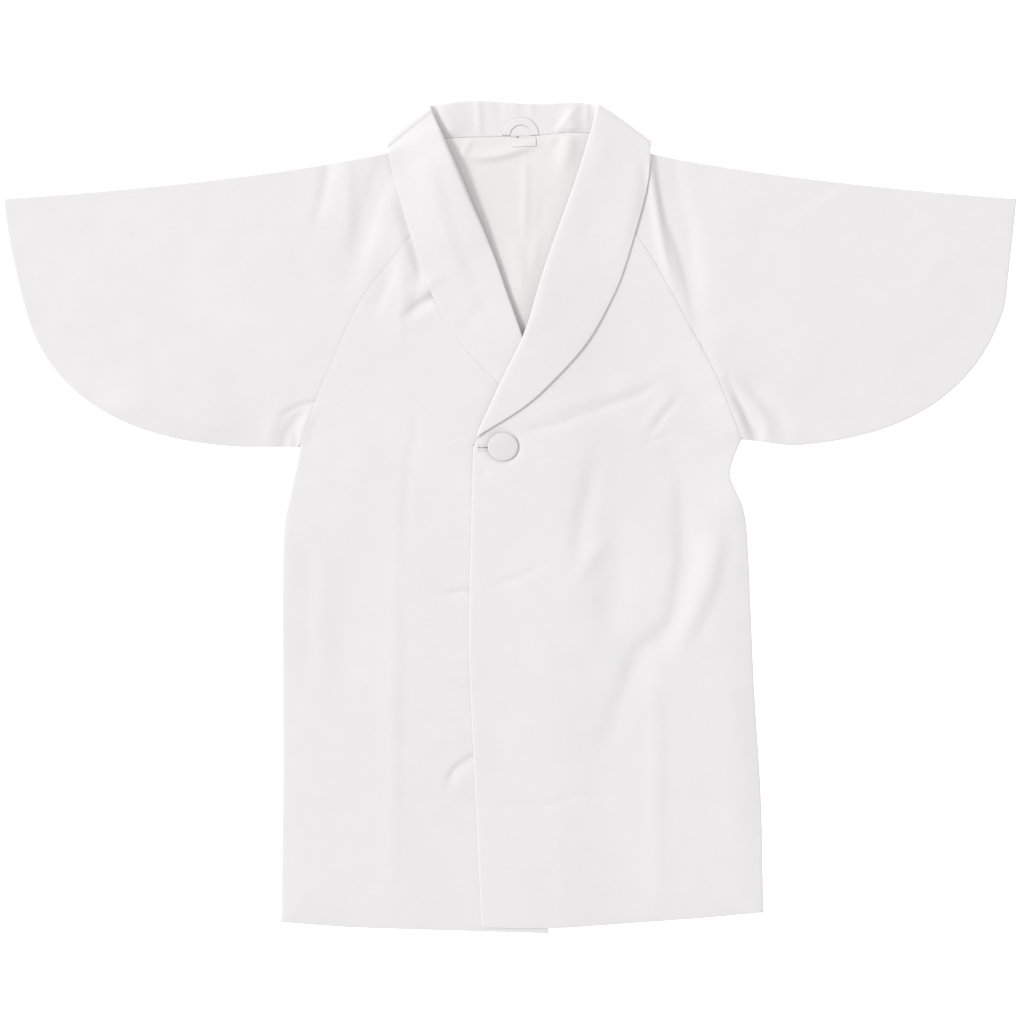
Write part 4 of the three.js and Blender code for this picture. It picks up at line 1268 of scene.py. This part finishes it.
def sewn(name, lines, tree, settings):
    """Stitches along some lines, as one plain mesh."""
    points = [tuple(point) for line in lines for point in line]
    edges, start = [], 0
    for line in lines:
        edges += [(start + i, start + i + 1) for i in range(len(line) - 1)]
        start += len(line)
    guide = bpy.data.meshes.new(name + "_guide")
    guide.from_pydata(points, edges, [])
    holder = placed(name + "_guide", guide)
    sewing = holder.modifiers.new("sewing", "NODES")
    sewing.node_group = tree
    sockets = {item.name: item.identifier for item in tree.interface.items_tree}
    for entry, value in zip(SETTINGS, settings):
        sewing[sockets[entry]] = value
    seen = holder.evaluated_get(bpy.context.evaluated_depsgraph_get())
    mesh = bpy.data.meshes.new_from_object(seen)
    mesh.name = name
    bpy.data.objects.remove(holder)
    print(name, len(mesh.polygons), "faces")
    return placed(name, mesh)


# %% [markdown]
# ## Cloth finishes
#
# The coat cloth is a plain weave of fine matte yarn. Each yarn is a band that rises and
# falls over its neighbours, so two sets of waves, one along each direction of the cloth,
# make the weave. They follow the cloth's own UV map, which is in metres. A slow change of
# tone and a little fuzz keep it from looking like plastic.

# %% One recipe for every woven finish
# waves of noise for each metre: where the yarn wanders, its fuzz, and the two sizes of cloud,
# each with its detail, and for the clouds also its share
WANDER, FUZZ = (260, 2), (2600, 3)
CLOUDS = [((9, 3), 0.55), ((55, 2), 0.45)]
SLUB = 0.35


def cloth_finish(name, white, pitch, weave_depth, roughness=0.9, sheen=0.08, tone=0.03):
    """A plain weave with the given distance between its yarns, and the given depth."""
    material = bpy.data.materials.new(name)
    material.use_nodes = True
    tree = material.node_tree
    shader = tree.nodes["Principled BSDF"]
    shader.inputs["Roughness"].default_value = roughness
    shader.inputs["Specular IOR Level"].default_value = 0.22
    shader.inputs["Sheen Weight"].default_value = sheen
    shader.inputs["Sheen Roughness"].default_value = 0.6

    def node(kind, **settings):
        made = tree.nodes.new(kind)
        for key, value in settings.items():
            setattr(made, key, value)
        return made

    def math_node(operation, first, second=None):
        made = node("ShaderNodeMath", operation=operation)
        for entry, value in enumerate((first, second)):
            if value is None:
                continue
            if isinstance(value, (int, float)):
                made.inputs[entry].default_value = value
            else:
                tree.links.new(value, made.inputs[entry])
        return made.outputs[0]

    cloth_map = node("ShaderNodeUVMap", uv_map="cloth")
    place = node("ShaderNodeTexCoord").outputs["Object"]
    split = node("ShaderNodeSeparateXYZ")
    tree.links.new(cloth_map.outputs[0], split.inputs[0])

    def noise_at(coordinates, waves):
        made = node("ShaderNodeTexNoise")
        made.inputs["Scale"].default_value, made.inputs["Detail"].default_value = waves
        tree.links.new(coordinates, made.inputs["Vector"])
        return made.outputs["Fac"]

    wander = math_node("MULTIPLY", noise_at(cloth_map.outputs[0], WANDER), SLUB)
    warp, weft = (
        math_node("SINE", math_node("ADD", math_node("MULTIPLY", along, math.tau / pitch), wander))
        for along in (split.outputs["X"], split.outputs["Y"])
    )
    weave = math_node("MULTIPLY", warp, weft)
    fuzz = noise_at(cloth_map.outputs[0], FUZZ)
    height = math_node("ADD", math_node("MULTIPLY", weave, 0.5), fuzz)

    bump = node("ShaderNodeBump")
    bump.inputs["Strength"].default_value = 0.5
    bump.inputs["Distance"].default_value = weave_depth
    tree.links.new(height, bump.inputs["Height"])
    tree.links.new(bump.outputs["Normal"], shader.inputs["Normal"])

    clouds = math_node("ADD", *(
        math_node("MULTIPLY", noise_at(place, waves), share) for waves, share in CLOUDS
    ))
    yarn = math_node("MULTIPLY", math_node("ADD", weave, fuzz), 0.25)
    blend = math_node("ADD", math_node("MULTIPLY", clouds, 0.8), yarn)
    tones = node("ShaderNodeValToRGB")
    tones.color_ramp.elements[0].position, tones.color_ramp.elements[1].position = 0.25, 0.85
    tones.color_ramp.elements[0].color = (*(channel * (1 - tone) for channel in white), 1)
    tones.color_ramp.elements[1].color = (*(min(channel * (1 + tone), 1) for channel in white), 1)
    tree.links.new(blend, tones.inputs["Fac"])
    tree.links.new(tones.outputs["Color"], shader.inputs["Base Color"])
    return material


SHELL_WHITE = (0.772, 0.758, 0.761)
LINING_WHITE = (0.765, 0.752, 0.738)
LABEL_WHITE = (0.762, 0.752, 0.744)
BUTTON_WHITE = (0.735, 0.722, 0.724)
THREAD_WHITE = (0.79, 0.78, 0.775)
coat_cloth = cloth_finish("coat_cloth", SHELL_WHITE, 0.55 * MM, 0.10 * MM)
FINISHES = {
    "back_lining": cloth_finish("lining_cloth", LINING_WHITE, 0.34 * MM, 0.05 * MM, 0.7, 0.15),
    "hanger_loop": cloth_finish("loop_cloth", SHELL_WHITE, 0.45 * MM, 0.08 * MM),
    "size_label": cloth_finish("label_tape", LABEL_WHITE, 0.28 * MM, 0.04 * MM, 0.6, tone=0.01),
    "button": cloth_finish("button_cloth", BUTTON_WHITE, 0.55 * MM, 0.10 * MM),
}
sewing_thread = cloth_finish("sewing_thread", THREAD_WHITE, 0.25 * MM, 0.03 * MM, 0.65, 0.2)
print(len(bpy.data.materials), "materials")

# %% Put the finishes on the pieces
for name, piece in cloth.items():
    piece.data.materials.append(FINISHES.get(name, coat_cloth))
    print(name, "has", piece.data.materials[0].name)

# %% [markdown]
# The buttonhole is worked in thread: close bars over both lips of the slit. The loop is
# tacked down at both ends, and the label has a row of small stitches along its ends.

# %% Sew the buttonhole, the loop and the label
LIP_OFFSET = 1.8 * MM
TACK_HALF = 3.0 * MM
LIP_MARKS, BAR_MARKS, TACK_MARKS = 30, 8, 6
# spacing, length and thickness of the stitches, and whether they lie across their line
STITCH_SIZES = {
    "buttonhole_stitches": (0.42 * MM, 2.6 * MM, 0.5 * MM, True),
    "buttonhole_bar_tack": (0.42 * MM, 1.4 * MM, 0.5 * MM, True),
    "loop_tacks": (0.5 * MM, 1.6 * MM, 0.35 * MM, True),
    "label_stitches": (1.5 * MM, 1.1 * MM, 0.25 * MM, False),
}


def on_left_front(places, lift):
    return np.column_stack([places, left_level(places) + SHELL / 2 + lift])


def tack_line(x):
    y = np.full(TACK_MARKS, LOOP_CENTRE[1] + 1.3 * MM)
    places = np.column_stack([np.linspace(x - TACK_HALF, x + TACK_HALF, TACK_MARKS), y])
    return np.column_stack([places, stand_top(places) + TAPE_AIR + LOOP_WALL + 0.1 * MM])


hole_x = np.linspace(HOLE_START, HOLE_END, LIP_MARKS)
lips = [
    np.column_stack([hole_x, np.full(LIP_MARKS, HOLE_Y + side * LIP_OFFSET)]) for side in (-1, 1)
]
bar_y = np.linspace(HOLE_Y - 2 * LIP_OFFSET, HOLE_Y + 2 * LIP_OFFSET, BAR_MARKS)
bar_tack = np.column_stack([np.full(BAR_MARKS, HOLE_START - 0.3 * MM), bar_y])
loop_middle = (LOOP_OUTER + LOOP_INNER) / 2
label_rows = label_grid()
sewn_along = {
    "buttonhole_stitches": [on_left_front(lip, 0.15 * MM) for lip in lips],
    "buttonhole_bar_tack": [on_left_front(bar_tack, 0.2 * MM)],
    "loop_tacks": [tack_line(LOOP_CENTRE[0] + side * loop_middle) for side in (-1, 1)],
    "label_stitches": [label_rows[i, 1:-1] + (0, 0, LABEL_WALL / 2) for i in (2, -3)],
}
sewing = stitch_tree(sewing_thread)
stitches = {
    name: sewn(name, lines, sewing, STITCH_SIZES[name]) for name, lines in sewn_along.items()
}

# %% [markdown]
# ## Hand the pieces to the coat
#
# Each piece stands in for its imported solid and rides on the coat's one body.


for name, piece in cloth.items():
    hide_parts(name)
    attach(piece, "root")
for piece in stitches.values():
    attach(piece, "root")
